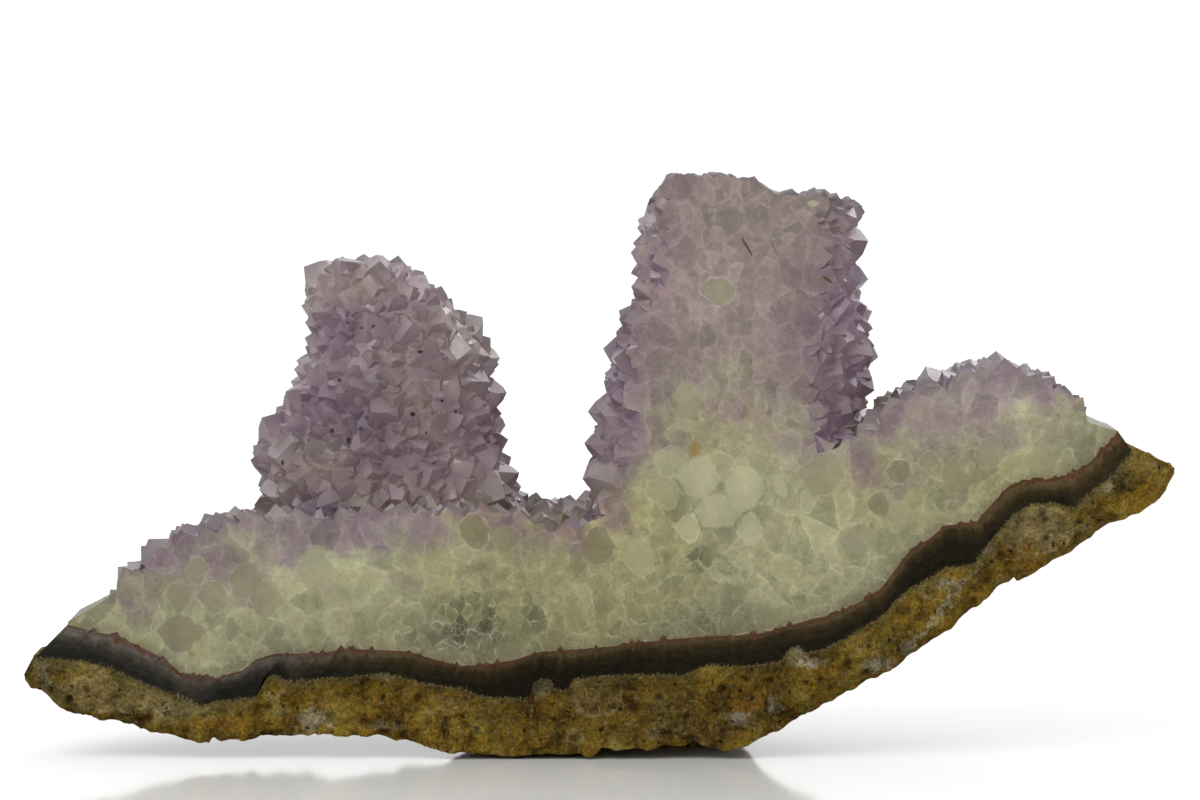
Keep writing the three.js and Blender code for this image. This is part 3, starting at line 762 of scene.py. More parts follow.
TINT_ZONES = [
    # greener parts, or redder ones with a minus: middle x and z, width and height in mm, how much
    (76, 77, 36, 11, 0.45), (-52, 46, 46, 12, 0.35), (-86, 43, 22, 12, 0.25), (24, 67, 24, 12, -0.4),
    (4, 47, 22, 12, -0.25), (50, 57, 16, 10, -0.25),
]
REDDER, GREENER = (1.08, 1.0, 1.0), (0.92, 1.0, 1.0)
# The lowest and highest input and the largest output of each curve, in mm
CREAM_SPAN, SIDES_SPAN = (-120, 120, 100), (55, 120, 60)
QUARTZ_SPAN, AGATE_SPAN = (-107, 104, 100), (-107, 104, 70)


def over_cream(tree, x, z, ragged):
    """How far a place is over the ragged end of the cream quartz, in mm."""
    over = add(tree, "Math SUBTRACT", z, line_curve(tree, x, CREAM_TO, *CREAM_SPAN))
    return add(tree, "Math ADD", over, ragged)


def inside_outline(tree, x, z):
    """How far a place of the sawn face is inside the surface that carries the crystals, in mm."""
    from_left = add(tree, "Math SUBTRACT", x, line_curve(tree, z, LEFT_SIDE, *SIDES_SPAN))
    from_right = add(tree, "Math SUBTRACT", line_curve(tree, z, RIGHT_SIDE, *SIDES_SPAN), x)
    under = add(tree, "Math SUBTRACT", line_curve(tree, x, QUARTZ_TOP_LINE, *QUARTZ_SPAN), z)
    between = add(tree, "Math MINIMUM", from_left, from_right)
    return add(tree, "Math MAXIMUM", between, under)


print(len(CREAM_TO), "points on the border of the cream quartz")

# %% [markdown]
# ## Sawn quartz
# On the polished face each crystal is cut across, and shows as a cell with a thin, broken, pale outline.
# Voronoi cells of three sizes make the mosaic: 5 mm in the low part, 2.6 mm higher up and fine ones of
# 1.2 mm between. Contrast is low, because light spreads inside the stone. The hollows get painted shade:
# crystals that lie deeper there are painted darker, as in shade, and sharper. Polished quartz is smooth but
# full of tiny flaws, so its gloss is weak. First come the lists of what the photograph shows where.
# %% What is known of the sawn quartz
KNOWN_CELLS = [
    # middle x and z, width and height in mm, tone from 0 grey to 1 pale green, how strong the rim is
    (23.8, 94.2, 6.4, 6.8, 0.3, 1.0), (17.4, 73.4, 6.6, 7.4, 0.42, 0.2), (14, 60.8, 7.2, 5, 0.57, 0.7),
    (19.8, 57.2, 9.4, 8.6, 0.83, 0.3), (12.4, 54.2, 6.8, 7, 0.46, 0.5), (29.2, 54.8, 8.6, 9, 0.87, 0.3),
    (23.4, 50.2, 9.6, 6.6, 0.8, 0.4), (17.6, 46.8, 5.8, 5.6, 0.83, 1.0), (30.2, 46.4, 5.6, 6.8, 0.72, 0.9),
    (44.6, 57.6, 9.2, 9.4, 0.27, 0.6), (41.2, 52, 3.4, 4.2, 0.68, 0.9), (36.4, 55.6, 3, 4.4, 0.8, 0.5),
    (0.4, 57.2, 5.8, 6.8, 0.25, 0.4), (-0.4, 43.2, 8, 7, 0.0, 0.4), (8, 41, 7, 7, 0.53, 0.2),
    (-25.2, 46.6, 6.6, 7.4, 0.0, 0.9), (-18.6, 44.6, 6.6, 6.6, 0.2, 0.5),
    (-27.4, 41.6, 4.8, 3.2, 0.45, 0.8), (59.8, 58.2, 5.8, 5.2, 0.05, 1.0), (56.2, 51.8, 4.8, 5, 0.0, 0.6),
    (66, 60.2, 5, 3.4, 0.3, 0.6), (-80.6, 38.4, 4.8, 6.2, 0.23, 0.8), (-71, 36.6, 7.2, 7.6, 0.19, 0.4),
    (-84.6, 33, 5.4, 6.4, 0.17, 0.4), (-77.6, 32.8, 8, 6, 0.2, 0.6), (-84, 25.6, 9.2, 8, 0.06, 0.5),
    (-66.6, 32.6, 7.6, 7.4, 0.27, 0.4), (-57, 38.6, 8.4, 9, 0.45, 0.4), (-74, 26, 3, 6, 0.17, 0.6),
    (60, 50, 5, 6, 0.45, 0.2), (42, 111.8, 2.6, 1.5, 1.0, 0.6), (52, 45, 7, 6, 0.31, 0.2),
    (78, 62, 7, 6, 0.35, 0.5), (71, 57, 6, 7, 0.25, 0.3), (88, 60, 6, 8, 0.4, 0.3),
]
SHADED_HOLLOWS = [
    # middle x and z, width and height in mm, how dark the painted shade is
    (-26, 28, 15, 11, 0.9), (-36, 25, 9, 5, 0.5), (-13, 29, 7, 9, 0.5), (19.6, 40, 5, 7, 0.9),
    (25, 38.6, 5, 5, 0.8), (14, 38, 6, 8, 0.4), (16, 30, 7, 5, 0.35), (52, 47, 4, 3, 0.3),
    (-86, 20, 4, 4, 0.3),
]
STAINS = [
    # rust spots: middle x and z, width and height in mm
    (19, 62.5, 2.6, 3.4), (39.4, 108.4, 1.0, 0.7), (-80.8, 24.6, 1.2, 2.4), (-82, 21.4, 1.8, 1.2),
    (25.1, 76.3, 1.0, 0.9),
]
SAWN_ZONES = [
    # lighter and darker parts: middle x and z, width and height in mm, by how much
    (40, 41, 28, 18, 0.3), (19, 95, 22, 16, 0.22), (36, 90, 14, 14, 0.12), (-27, 26, 24, 16, -0.26),
    (24, 27, 22, 10, -0.24), (78, 75, 28, 12, 0.36), (72, 58, 26, 12, -0.12), (-78, 29, 28, 14, -0.12),
    (8, 36, 22, 12, 0.12), (-56, 40, 26, 12, 0.16), (-46, 49, 44, 7, 0.14), (-14, 38, 26, 14, -0.1),
    (52, 80, 8, 22, 0.2), (45, 100, 10, 12, -0.18), (86, 68, 14, 18, 0.12), (-18, 31, 24, 16, -0.1),
]
NEEDLES = [
    # dark needles: middle x and z, length and width in mm, slope in degrees, how strong
    (29.3, 103.3, 4.6, 0.5, -60, 0.9), (34.8, 102.9, 3.2, 0.4, -66, 0.5), (45.4, 96.7, 2.6, 0.6, -34, 1.0),
]
WARM_ZONES = [
    # yellower parts: middle x and z, width and height in mm, how much
    (-8, 41, 62, 38, 0.65), (66, 54, 40, 18, 0.4), (86, 56, 20, 14, 0.5), (-8, 27, 100, 12, 0.15),
]
WARMER = (1.02, 1.0, 0.8)
QUARTZ_IOR = 1.544
CELL_SIZES = ((5.0, 1.25), (2.6, 1.1), (1.2, 1.0))  # width in mm, and how many times as tall
QUARTZ_LOW, QUARTZ_CREAM, QUARTZ_MAUVE = linear("#7b795c"), linear("#898768"), linear("#786c66")
QUARTZ_PURPLE, CELL_GREY, CELL_PALE = linear("#68535f"), linear("#655f4c"), linear("#a7a585")
LINE_PALE, LINE_MAUVE = linear("#b9b7a2"), linear("#b6aca6")
print(len(KNOWN_CELLS), "cut crystals and", len(SHADED_HOLLOWS), "hollows are placed by hand")

# %% [markdown]
# ## The material of the sawn quartz
# The mosaic comes first, then its outlines, the known cells over it, the colour of the zones, and last all
# that darkens or stains it. A height made of the outlines gives the polish its fine flaws.
# %% The material of the sawn quartz
def sawn_quartz():
    made, tree = new_material("polished quartz, sawn")
    _, flat, (x, _, z) = places(tree)
    x = add(tree, "Math SUBTRACT", x, SHIFT_X)
    bend = bent(tree, 1, flat, 0.22, 4.0, 0.6, "2D")
    warped = add(tree, "VectorMath ADD", flat, bend)
    ragged = uneven(tree, (0.3, 0.7), (-7.0, 7.0), warped, 0.12, 4.0, 0.5, "2D")
    over, inside = over_cream(tree, x, z, ragged), inside_outline(tree, x, z)
    mauve = add(tree, "MapRange", over, -13.0, 6.0, interpolation_type="SMOOTHSTEP")

    # The mosaic: coarse where patch is 1, fine where it is 0
    tones, edges = [], []
    for size, tall in CELL_SIZES:
        cells = add(tree, "VectorMath MULTIPLY", warped, (1 / size, 1 / size / tall, 0))
        cells = {"Vector": cells, "Scale": 1.0}
        tone = add(tree, "TexVoronoi", cells, out=1, voronoi_dimensions="2D")
        tones.append(add(tree, "SeparateColor", tone))
        edge = add(tree, "TexVoronoi", cells, voronoi_dimensions="2D", feature="DISTANCE_TO_EDGE")
        edges.append(add(tree, "Math MULTIPLY", edge, size))
    patch = add(tree, "TexNoise", {"Vector": flat, "Scale": 0.07, "Detail": 2.0}, noise_dimensions="2D")
    lower = add(tree, "MapRange", over, 4.0, -12.0, -0.12, 0.12)
    patch = add(tree, "Math ADD", patch, lower)
    patch = add(tree, "MapRange", patch, 0.46, 0.54)
    outer = add(tree, "MapRange", inside, 9.0, 6.0)
    patch = add(tree, "Math MAXIMUM", patch, outer)
    # The hollows, where crystals lie deeper: their mask carries the painted shade, and the cells there are
    # small
    shaded_hollow, dark = nearest_spot(tree, warped, SHADED_HOLLOWS)
    shaded_hollow = add(tree, "MapRange", shaded_hollow, 1.5, -3.0)
    small = add(tree, "MapRange", shaded_hollow, 0.1, 0.3)
    patch = add(tree, "Math SUBTRACT", patch, small, use_clamp=True)
    shaded_hollow = add(tree, "Math MULTIPLY", shaded_hollow, dark)
    tone = add(tree, "Mix", {0: patch, 2: tones[1], 3: tones[0]})
    tone = add(tree, "Math MULTIPLY", tone, 0.65)
    tone = add(tree, "Math MULTIPLY_ADD", tones[2], 0.35, tone)
    edge = add(tree, "Mix", {0: patch, 2: edges[1], 3: edges[0]})
    glow = add(tree, "MapRange", edge, 0.1, 1.3, 1.08, 0.95)

    # The outlines, broken up by noise, and the fine ones where the quartz is frosted
    broken_up = uneven(tree, (0.45, 0.62), (0.0, 1.0), flat, 0.45, 3.0, 0.5, "2D")
    line = add(tree, "MapRange", edge, 0.26, 0.05)
    line = add(tree, "Math MULTIPLY", line, broken_up)
    fine = add(tree, "MapRange", edges[2], 0.16, 0.04, 0.0, 0.55)
    frost = uneven(tree, (0.5, 0.62), (0.0, 1.0), flat, 0.16, 3.0, 0.5, "2D")
    fine = add(tree, "Math MULTIPLY", fine, frost)
    line = add(tree, "Math MAXIMUM", line, fine)

    # The known cells, with worn rims
    swell = bent(tree, 1.2, flat, 0.13, 2.0, 0.5, "2D")
    swollen = add(tree, "VectorMath ADD", warped, swell)
    far, shade, rim = nearest_spot(tree, swollen, KNOWN_CELLS, six_sided=True)
    cell = add(tree, "MapRange", far, 0.12, -0.12)
    ring = add(tree, "Math ABSOLUTE", far)
    ring = add(tree, "MapRange", ring, 0.34, 0.04)
    worn = add(tree, "MapRange", broken_up, 0.0, 1.0, 0.4, 1.0)
    ring = add(tree, "Math MULTIPLY", ring, worn)
    ring = add(tree, "Math MULTIPLY", ring, rim)
    line = add(tree, "Mix", {0: cell, 2: line, 3: 0.0})
    clear = add(tree, "MapRange", far, 0.0, -2.0, 0.55, 0.75)
    clear = add(tree, "Math MULTIPLY", cell, clear)

    # The colour
    low = add(tree, "MapRange", over, -26.0, -10.0)
    purple = add(tree, "MapRange", inside, 11.0, 0.0)
    purple = add(tree, "Math MULTIPLY", purple, mauve)
    spread = add(tree, "MapRange", ragged, -5.0, 5.0, 0.15, 0.8)
    purple = add(tree, "Math MULTIPLY", purple, spread)
    plain = add(tree, "MapRange", tone, 0.0, 1.0, 0.72, 1.27)
    plain = add(tree, "Math MULTIPLY", plain, glow)
    plain = add(tree, "Mix", {0: clear, 2: plain, 3: 1.0})
    zones = soft_zones(tree, flat, SAWN_ZONES)
    zones = add(tree, "Mix", {0: clear, 2: zones, 3: 1.0})
    plain = add(tree, "Math MULTIPLY", plain, zones)
    known = coated(tree, CELL_GREY, (shade, CELL_PALE))
    base = coated(
        tree, QUARTZ_LOW, (low, QUARTZ_CREAM), (mauve, QUARTZ_MAUVE), (purple, QUARTZ_PURPLE), (clear, known),
        plain,
    )
    base = tinted(tree, base, soft_zones(tree, flat, WARM_ZONES, start=0.0), (1.0, 1.0, 1.0), WARMER)
    base = tinted(tree, base, soft_zones(tree, flat, TINT_ZONES, start=0.5), REDDER, GREENER)

    # Smoky over the agate, then clouds, grains, the painted shade of the hollows, the outlines and the stains
    over_agate = add(tree, "Math SUBTRACT", z, line_curve(tree, x, AGATE_TOP_LINE, *AGATE_SPAN))
    first = add(tree, "MapRange", over_agate, 9.0, 4.0, 1.0, 0.87)
    smoky = add(tree, "MapRange", over_agate, 2.4, 0.3, 0.0, 0.5)
    cloud = uneven(tree, (0.3, 0.7), (0.9, 1.09), warped, 0.1, 6.0, 0.6, "2D")
    settings = {"Vector": flat, "Scale": 1.2, "Detail": 4.0, "Roughness": 0.85}
    grain = add(tree, "TexNoise", settings, noise_dimensions="2D")
    flecks = add(tree, "MapRange", grain, 0.6, 0.72, 0.0, 0.7)
    grain = add(tree, "MapRange", grain, 0.3, 0.7, 0.87, 1.12)
    grain = add(tree, "Mix", {0: clear, 2: grain, 3: 1.0})
    base = coated(tree, base, first, (smoky, "#594f39"), cloud, grain)
    line = add(tree, "Math MAXIMUM", line, flecks)
    # Painted shade for the hollows, deeper on the darker cells
    shadow = add(tree, "MapRange", tone, 0.3, 0.7, 0.38, 0.9)
    strength = add(tree, "MapRange", shaded_hollow, 0.0, 1.0, 0.24, 0.4)
    calm = add(tree, "MapRange", mauve, 0.0, 1.0, 1.0, 0.6)
    strength = add(tree, "Math MULTIPLY", strength, calm)
    line = add(tree, "Math MULTIPLY", line, strength)
    line = add(tree, "Math MULTIPLY_ADD", ring, 0.36, line, use_clamp=True)
    frosted = coated(tree, LINE_PALE, (mauve, LINE_MAUVE))
    (stain,) = nearest_spot(tree, warped, STAINS)
    stain = add(tree, "MapRange", stain, 0.2, -0.6, 0.0, 0.65)
    base = coated(tree, base, (shaded_hollow, coated(tree, base, shadow)), (line, frosted), (stain, "#7d6420"))
    base = streaked(tree, flat, base, NEEDLES, (0.05, -0.1), "#4b3514")

    gloss = add(tree, "MapRange", tone, 0.0, 1.0, 0.24, 0.32)
    flaws = add(tree, "Bump", {"Height": line, "Distance": 0.00004, "Strength": 0.4})
    look = {"Base Color": base, "Roughness": gloss, "Normal": flaws}
    look |= {"IOR": QUARTZ_IOR, "Specular IOR Level": 0.2}
    add(tree, "OutputMaterial", add(tree, "BsdfPrincipled", look))
    return made


sawn = sawn_quartz()
print(sawn.name, "has", len(sawn.node_tree.nodes), "nodes")

# %% [markdown]
# ## Amethyst crystals
# The crystals keep their grown faces, glossy and a little etched. They are see-through, so light goes in,
# and the volume takes light out of it on the way: a thin tip stays clear and a thick place turns deep.
# The base colour only tints them. "standing", the distance out of the bed, makes the tips paler still: partly
# their own clearness and partly painted light, which leaves the crevices by the bed darker.
# Where "grows" is 0 the stone is broken across, and crumbled and dull.
# %% Amethyst crystals
SPECKS = [
    # rust and goethite grains on the left stalactite: middle x and z, width and height in mm
    (-34.2, 93.4, 0.8, 0.8), (-51.2, 87.4, 0.5, 0.8), (-48.2, 86.4, 0.8, 0.5), (-45.8, 86.8, 0.7, 0.5),
    (-36.4, 81.6, 1.2, 0.6), (-52.8, 75.8, 0.9, 0.9), (-24.4, 75, 0.7, 0.7), (-32, 71.6, 0.7, 0.7),
    (-37.8, 69.2, 1.1, 0.9), (-29.2, 69.4, 0.6, 0.7), (-23.6, 66.8, 0.9, 0.8), (-48.4, 66.2, 0.7, 0.7),
    (-54.2, 65.6, 1.0, 1.0), (-50.8, 63.8, 0.7, 1.4), (-35, 65.6, 0.5, 0.6), (-64.4, 59, 0.7, 1.2),
    (-59, 63.8, 0.5, 0.6), (45.2, 96.9, 2.2, 0.6), (46.6, 96.2, 1.2, 0.5), (-9.4, 49.6, 0.8, 1.6),
    (-5, 50.4, 0.7, 0.9),
]
CRYSTAL_ZONES = [
    # lighter and darker parts: middle x and z, width and height in mm, by how much
    (-50, 66, 20, 26, -0.12), (-27, 76, 10, 26, 0.08), (-40, 57, 46, 12, 0.22), (-40, 94, 20, 12, 0.15),
    (78, 79, 30, 8, 0.3), (48, 82, 14, 44, 0.12), (-56, 60, 14, 10, -0.16), (-62, 71, 8, 16, 0.14),
    (-19, 76, 8, 20, 0.2), (9, 95, 8, 22, 0.12), (54, 82, 6, 40, 0.2), (2, 72, 6, 20, 0.15),
]
PURPLE_ZONES = [
    # deeper purple: middle x and z, width and height in mm, how much
    (-52, 86, 13, 10, 0.4), (-56, 70, 13, 14, 0.4), (-26, 66, 10, 18, 0.3), (47, 84, 16, 48, 0.45),
    (3, 80, 13, 48, 0.35), (80, 77, 30, 8, 0.2), (48, 62, 10, 12, 0.35),
]
CRYSTAL_GREY, CRYSTAL_PURPLE = linear("#ac9c95"), linear("#8f7888")
CRYSTAL_CREAM, CRYSTAL_TIP_CLEAR_AND_LIT, CRYSTAL_DEEP = linear("#aaa48a"), linear("#dcd5d6"), linear("#856684")
BROKEN_CREAM, BROKEN_MAUVE = linear("#a39f84"), linear("#8c7f84")


def amethyst_crystals():
    made, tree = new_material("amethyst crystal faces")
    solid, flat, (x, y, z) = places(tree)
    x = add(tree, "Math SUBTRACT", x, SHIFT_X)
    ragged = add(tree, "TexNoise", {"Vector": solid, "Scale": 0.09, "Detail": 3.0})
    mottle = add(tree, "MapRange", ragged, 0.38, 0.62)
    ragged = add(tree, "MapRange", ragged, 0.3, 0.7, -5.0, 5.0)
    over = over_cream(tree, x, z, ragged)
    mauve = add(tree, "MapRange", over, -8.0, 2.0, interpolation_type="SMOOTHSTEP")
    base = coated(tree, CRYSTAL_GREY, (mottle, CRYSTAL_PURPLE))
    deeper = soft_zones(tree, flat, PURPLE_ZONES, start=0.0)
    base = coated(tree, CRYSTAL_CREAM, (mauve, base), (deeper, CRYSTAL_DEEP))
    base = tinted(tree, base, soft_zones(tree, flat, TINT_ZONES, start=0.5), REDDER, GREENER)
    standing = add(tree, "Attribute", out=2, attribute_name="standing")
    # Painted light, partly real clearness: the further a place stands out of the bed, the paler it is, so the
    # tips look lit and the crevices shaded
    tip = add(tree, "MapRange", standing, 0.001, 0.0036, 0.0, 0.15)
    cells = add(tree, "TexVoronoi", {"Vector": solid, "Scale": 0.2}, out=1)
    cells = add(tree, "SeparateColor", cells)
    bright = add(tree, "MapRange", cells, 0.0, 1.0, 0.88, 1.1)
    bright = add(tree, "Math MULTIPLY", bright, soft_zones(tree, flat, CRYSTAL_ZONES))

    grows = add(tree, "Attribute", out=2, attribute_name="grows")
    bare = add(tree, "Math SUBTRACT", 1.0, grows, use_clamp=True)
    crumbled = add(tree, "TexNoise", {"Vector": solid, "Scale": 0.4, "Detail": 6.0, "Roughness": 0.65})
    shade = add(tree, "MapRange", crumbled, 0.3, 0.7, 0.6, 1.3)
    dull = coated(tree, BROKEN_CREAM, (mauve, BROKEN_MAUVE), shade)
    (speck,) = nearest_spot(tree, flat, SPECKS)
    speck = add(tree, "MapRange", speck, 0.05, -0.1)
    in_front = add(tree, "MapRange", y, -9.0, -12.0)
    speck = add(tree, "Math MULTIPLY", speck, in_front)
    base = coated(tree, base, (tip, CRYSTAL_TIP_CLEAR_AND_LIT), bright, (bare, dull), (speck, "#120806"))

    etched = add(tree, "TexNoise", {"Vector": solid, "Scale": 0.8, "Detail": 3.0})
    gloss = add(tree, "MapRange", etched, 0.3, 0.7, 0.26, 0.44)
    gloss = add(tree, "Mix", {0: bare, 2: gloss, 3: 0.5})
    crumbled = add(tree, "Math MULTIPLY", crumbled, bare)
    height = add(tree, "Math MULTIPLY_ADD", crumbled, 24.0, etched)
    relief = add(tree, "Bump", {"Height": height, "Distance": 0.0003, "Strength": 0.25})
    look = {"Base Color": base, "Roughness": gloss, "Normal": relief}
    look |= {"IOR": QUARTZ_IOR, "Transmission Weight": 0.68}
    absorb = add(tree, "VolumeAbsorption", {"Color": linear("#d6cacf"), "Density": 45.0})
    add(tree, "OutputMaterial", add(tree, "BsdfPrincipled", look), absorb)
    return made


grown_faces = amethyst_crystals()
druse = grow([grown_faces, sawn])
print("druse:", len(druse.data.vertices), "points,", len(druse.data.polygons), "faces")

# %% [markdown]
# ## Agate
# Polished chalcedony is even and dense, in layers too thin to count: brown with iron under a rusty
# saw-toothed line, then nearly black. The layers follow "below_top", the depth under the top edge in mm,
# and a fuzzy pale fringe follows "above_rock". Slow noise moves the layers a little. Its polish is worn, so
# it hardly shines.
# %% Agate
AGATE_LAYERS = [
    # depth under the top edge in mm, and the colour there
    (0.0, "#4c3e2a"), (1.0, "#443927"), (2.0, "#332918"), (3.0, "#252013"), (4.0, "#1e1b12"),
    (5.0, "#19160e"), (8.0, "#17140d"),
]
AGATE_ZONES = [
    # lighter and darker parts, as in the quartz
    (-98, 22, 36, 26, 0.3), (-14, 18, 50, 24, -0.22), (102, 60, 20, 24, 0.25),
]


def banded_agate():
    made, tree = new_material("banded agate, polished")
    solid, flat, (x, _, _) = places(tree)
    below = add(tree, "Attribute", out=2, attribute_name="below_top")
    above = add(tree, "Attribute", out=2, attribute_name="above_rock")
    slow = uneven(tree, (0.35, 0.65), (-0.7, 0.7), solid, 0.05, 3.0)
    shifted = add(tree, "Math ADD", below, slow)
    base = layer_colour(tree, shifted, AGATE_LAYERS)
    layers = add(tree, "TexNoise", {"W": shifted, "Scale": 1.3, "Detail": 3.0}, noise_dimensions="1D")
    layers = add(tree, "MapRange", layers, 0.3, 0.7, 0.82, 1.18)
    grain = uneven(tree, (0.3, 0.7), (0.55, 1.4), solid, 0.7, 5.0, 0.7)
    base = coated(tree, base, layers, grain)
    grey = add(tree, "MapRange", x, -40.0, -66.0, 0.0, 0.55)
    colourful = add(tree, "Math SUBTRACT", 1.0, grey)
    base = add(tree, "HueSaturation", {1: colourful, 4: base})
    teeth = uneven(tree, (0.3, 0.7), (-0.8, 0.8), solid, 0.9, 4.0, 0.8)
    depth = add(tree, "Math ADD", below, teeth)
    rust = add(tree, "MapRange", depth, 0.8, 0.35, 0.0, 0.9)
    patchy = uneven(tree, (0.38, 0.6), (0.5, 1.0), solid, 0.35, 4.0, 0.7)
    rust = add(tree, "Math MULTIPLY", rust, patchy)
    tan = add(tree, "MapRange", depth, -0.3, -0.9, 0.0, 0.35)
    hairs = add(tree, "VectorMath MULTIPLY", solid, (2.4, 1.0, 1.6))
    fringe = uneven(tree, (0.3, 0.7), (0.7, -0.7), hairs, 1.0, 3.0, 0.8)
    fringe = add(tree, "Math ADD", fringe, above)
    fringe = add(tree, "MapRange", fringe, 0.3, -0.1, 0.0, 0.8)
    zones = soft_zones(tree, flat, AGATE_ZONES)
    base = coated(tree, base, zones, (rust, "#4a2c1e"), (tan, "#7f705a"), (fringe, "#6d6040"))
    gloss = add(tree, "MapRange", layers, 0.82, 1.18, 0.22, 0.34)
    relief = add(tree, "Bump", {"Height": layers, "Distance": 0.00003, "Strength": 0.3})
    look = {"Base Color": base, "Roughness": gloss, "Normal": relief, "IOR": 1.54, "Specular IOR Level": 0.02}
    add(tree, "OutputMaterial", add(tree, "BsdfPrincipled", look))
    return made


agate.data.materials.append(banded_agate())
print("agate layers:", len(AGATE_LAYERS))

# %% [markdown]
# ## Weathered basalt
# The rock has rotted to clay and iron oxides: ochre and olive-brown in patches of 10 mm or so, with black
# pores about 1 mm wide, pale grains, spots of zeolite and rust. It has next to no gloss. Where the
# photograph shows a patch of its own colour, an ellipse with a ragged edge places it.
# %% Weathered basalt
PATCHES = [
    # middle x and z, width and height in mm, then shares of grey-tan, orange, white and black
    (-99, 13.6, 24, 8, 0.8, 0, 0, 0), (-86, 11, 14, 7, 0.9, 0, 0.1, 0), (-94.6, 12.2, 2.8, 3, 0, 1, 0, 0),
    (-112.8, 17.8, 1.0, 1.8, 0, 0, 0.9, 0), (-111.6, 16, 1.0, 2, 0, 0, 0.9, 0),
    (-100.8, 17.8, 3, 2, 0, 0.8, 0, 0), (-76, 7.4, 14, 2.8, 0, 0.9, 0, 0),
    (-65.4, 14.2, 3.4, 4, 0, 0.9, 0, 0), (-65.4, 17.3, 3.6, 2, 0.9, 0, 0.5, 0),
    (-42.8, 17.2, 8, 1.8, 0.9, 0, 0.3, 0), (-57.6, 8, 6, 4.4, 0.7, 0, 0.45, 0),
    (-43.4, 6.8, 3, 1.4, 0.3, 0, 0.5, 0), (-27, 3, 3, 2, 0, 1, 0, 0), (-30, 11, 8, 4, 0.5, 0.2, 0, 0),
    (-11.6, 15, 3.2, 4.4, 0.9, 0, 0.25, 0), (-1, 13, 9, 8, 0.6, 0.1, 0, 0),
    (-2.6, 12, 1.3, 1.0, 0, 0, 0, 1), (-5, 4.4, 2.4, 2, 0.4, 0, 0, 0.5),
    (4.5, 8.5, 13, 10, 0, 0.4, 0, 0.35), (14, 9.5, 12, 9, 0.2, 0, 0, 0.35), (11, 6, 4, 1.8, 0.3, 0, 0.5, 0),
    (23, 11.5, 7, 6, 0, 0.2, 0, 0.35), (21.5, 5, 9, 5, 0.2, 0.2, 0, 0.15),
    (29.5, 12.4, 10, 6, 0, 0.9, 0, 0), (28, 8.8, 4.6, 2.4, 0.2, 0, 0.8, 0),
    (35, 10.8, 2.2, 3.4, 0.2, 0, 0.75, 0), (22.2, 11.6, 3, 1.4, 0.4, 0, 0.4, 0.2),
    (41.4, 19.6, 6, 2, 0, 0, 0.8, 0), (39.4, 22.4, 3.4, 2.8, 0.9, 0, 0.5, 0),
    (56, 19, 5.4, 2.6, 0.2, 0, 0.6, 0), (62, 22.6, 2.6, 2.6, 0.2, 0, 0.5, 0), (50, 24, 8, 4, 0, 0.4, 0, 0),
    (87, 47, 14, 8, 0.95, 0, 0.05, 0), (86.6, 40.6, 8, 6, 0, 0.8, 0, 0), (100.4, 48.4, 4, 4, 0, 0.8, 0, 0),
    (104.4, 57.2, 4, 5.6, 0, 0, 0, 1.0), (101.6, 55.6, 4, 3.4, 0.3, 0, 0.4, 0.2),
    (70, 35.4, 6, 2, 0.5, 0, 0.5, 0), (77.4, 42.6, 3.4, 2, 0.2, 0, 0.6, 0),
    (110.5, 58.6, 7, 5, 0.35, 0.2, 0, 0),
]
VEINS = [
    # middle x and z, length and width in mm, slope in degrees, how strong
    (69, 30.5, 24, 1.0, 51, 0.75), (92, 44.5, 15, 0.8, 30, 0.5), (-111.5, 17, 5, 0.8, -58, 0.7),
]
RIMS = [
    # lumps with a pale rim: middle x and z, width and height in mm
    (-0.5, 13.2, 9.6, 8.8), (-100.5, 13.8, 11, 8), (-95, 13, 8, 7), (87.4, 46.4, 15, 9.5),
    (68.4, 34.2, 8, 4.2), (-65.6, 15.2, 4.4, 5), (-11.6, 15.2, 3.6, 4.6), (-5, 4.4, 3, 2.6),
    (40, 21.2, 3.6, 4.6),
]
BASALT_ZONES = [
    # lighter and darker parts, as in the quartz
    (14, 10, 42, 14, -0.25), (108, 56, 22, 18, 0.3), (66, 30, 30, 24, 0.1), (-90, 12, 30, 14, 0.08),
]
ROT_COLOURS = [(0.3, "#38290d"), (0.4, "#543f10"), (0.48, "#6f5516"), (0.58, "#786422"), (0.68, "#7a6e42")]
PATCH_COLOURS = ("#7c6d45", "#7f5c1a", "#a5a391", "#18130a")


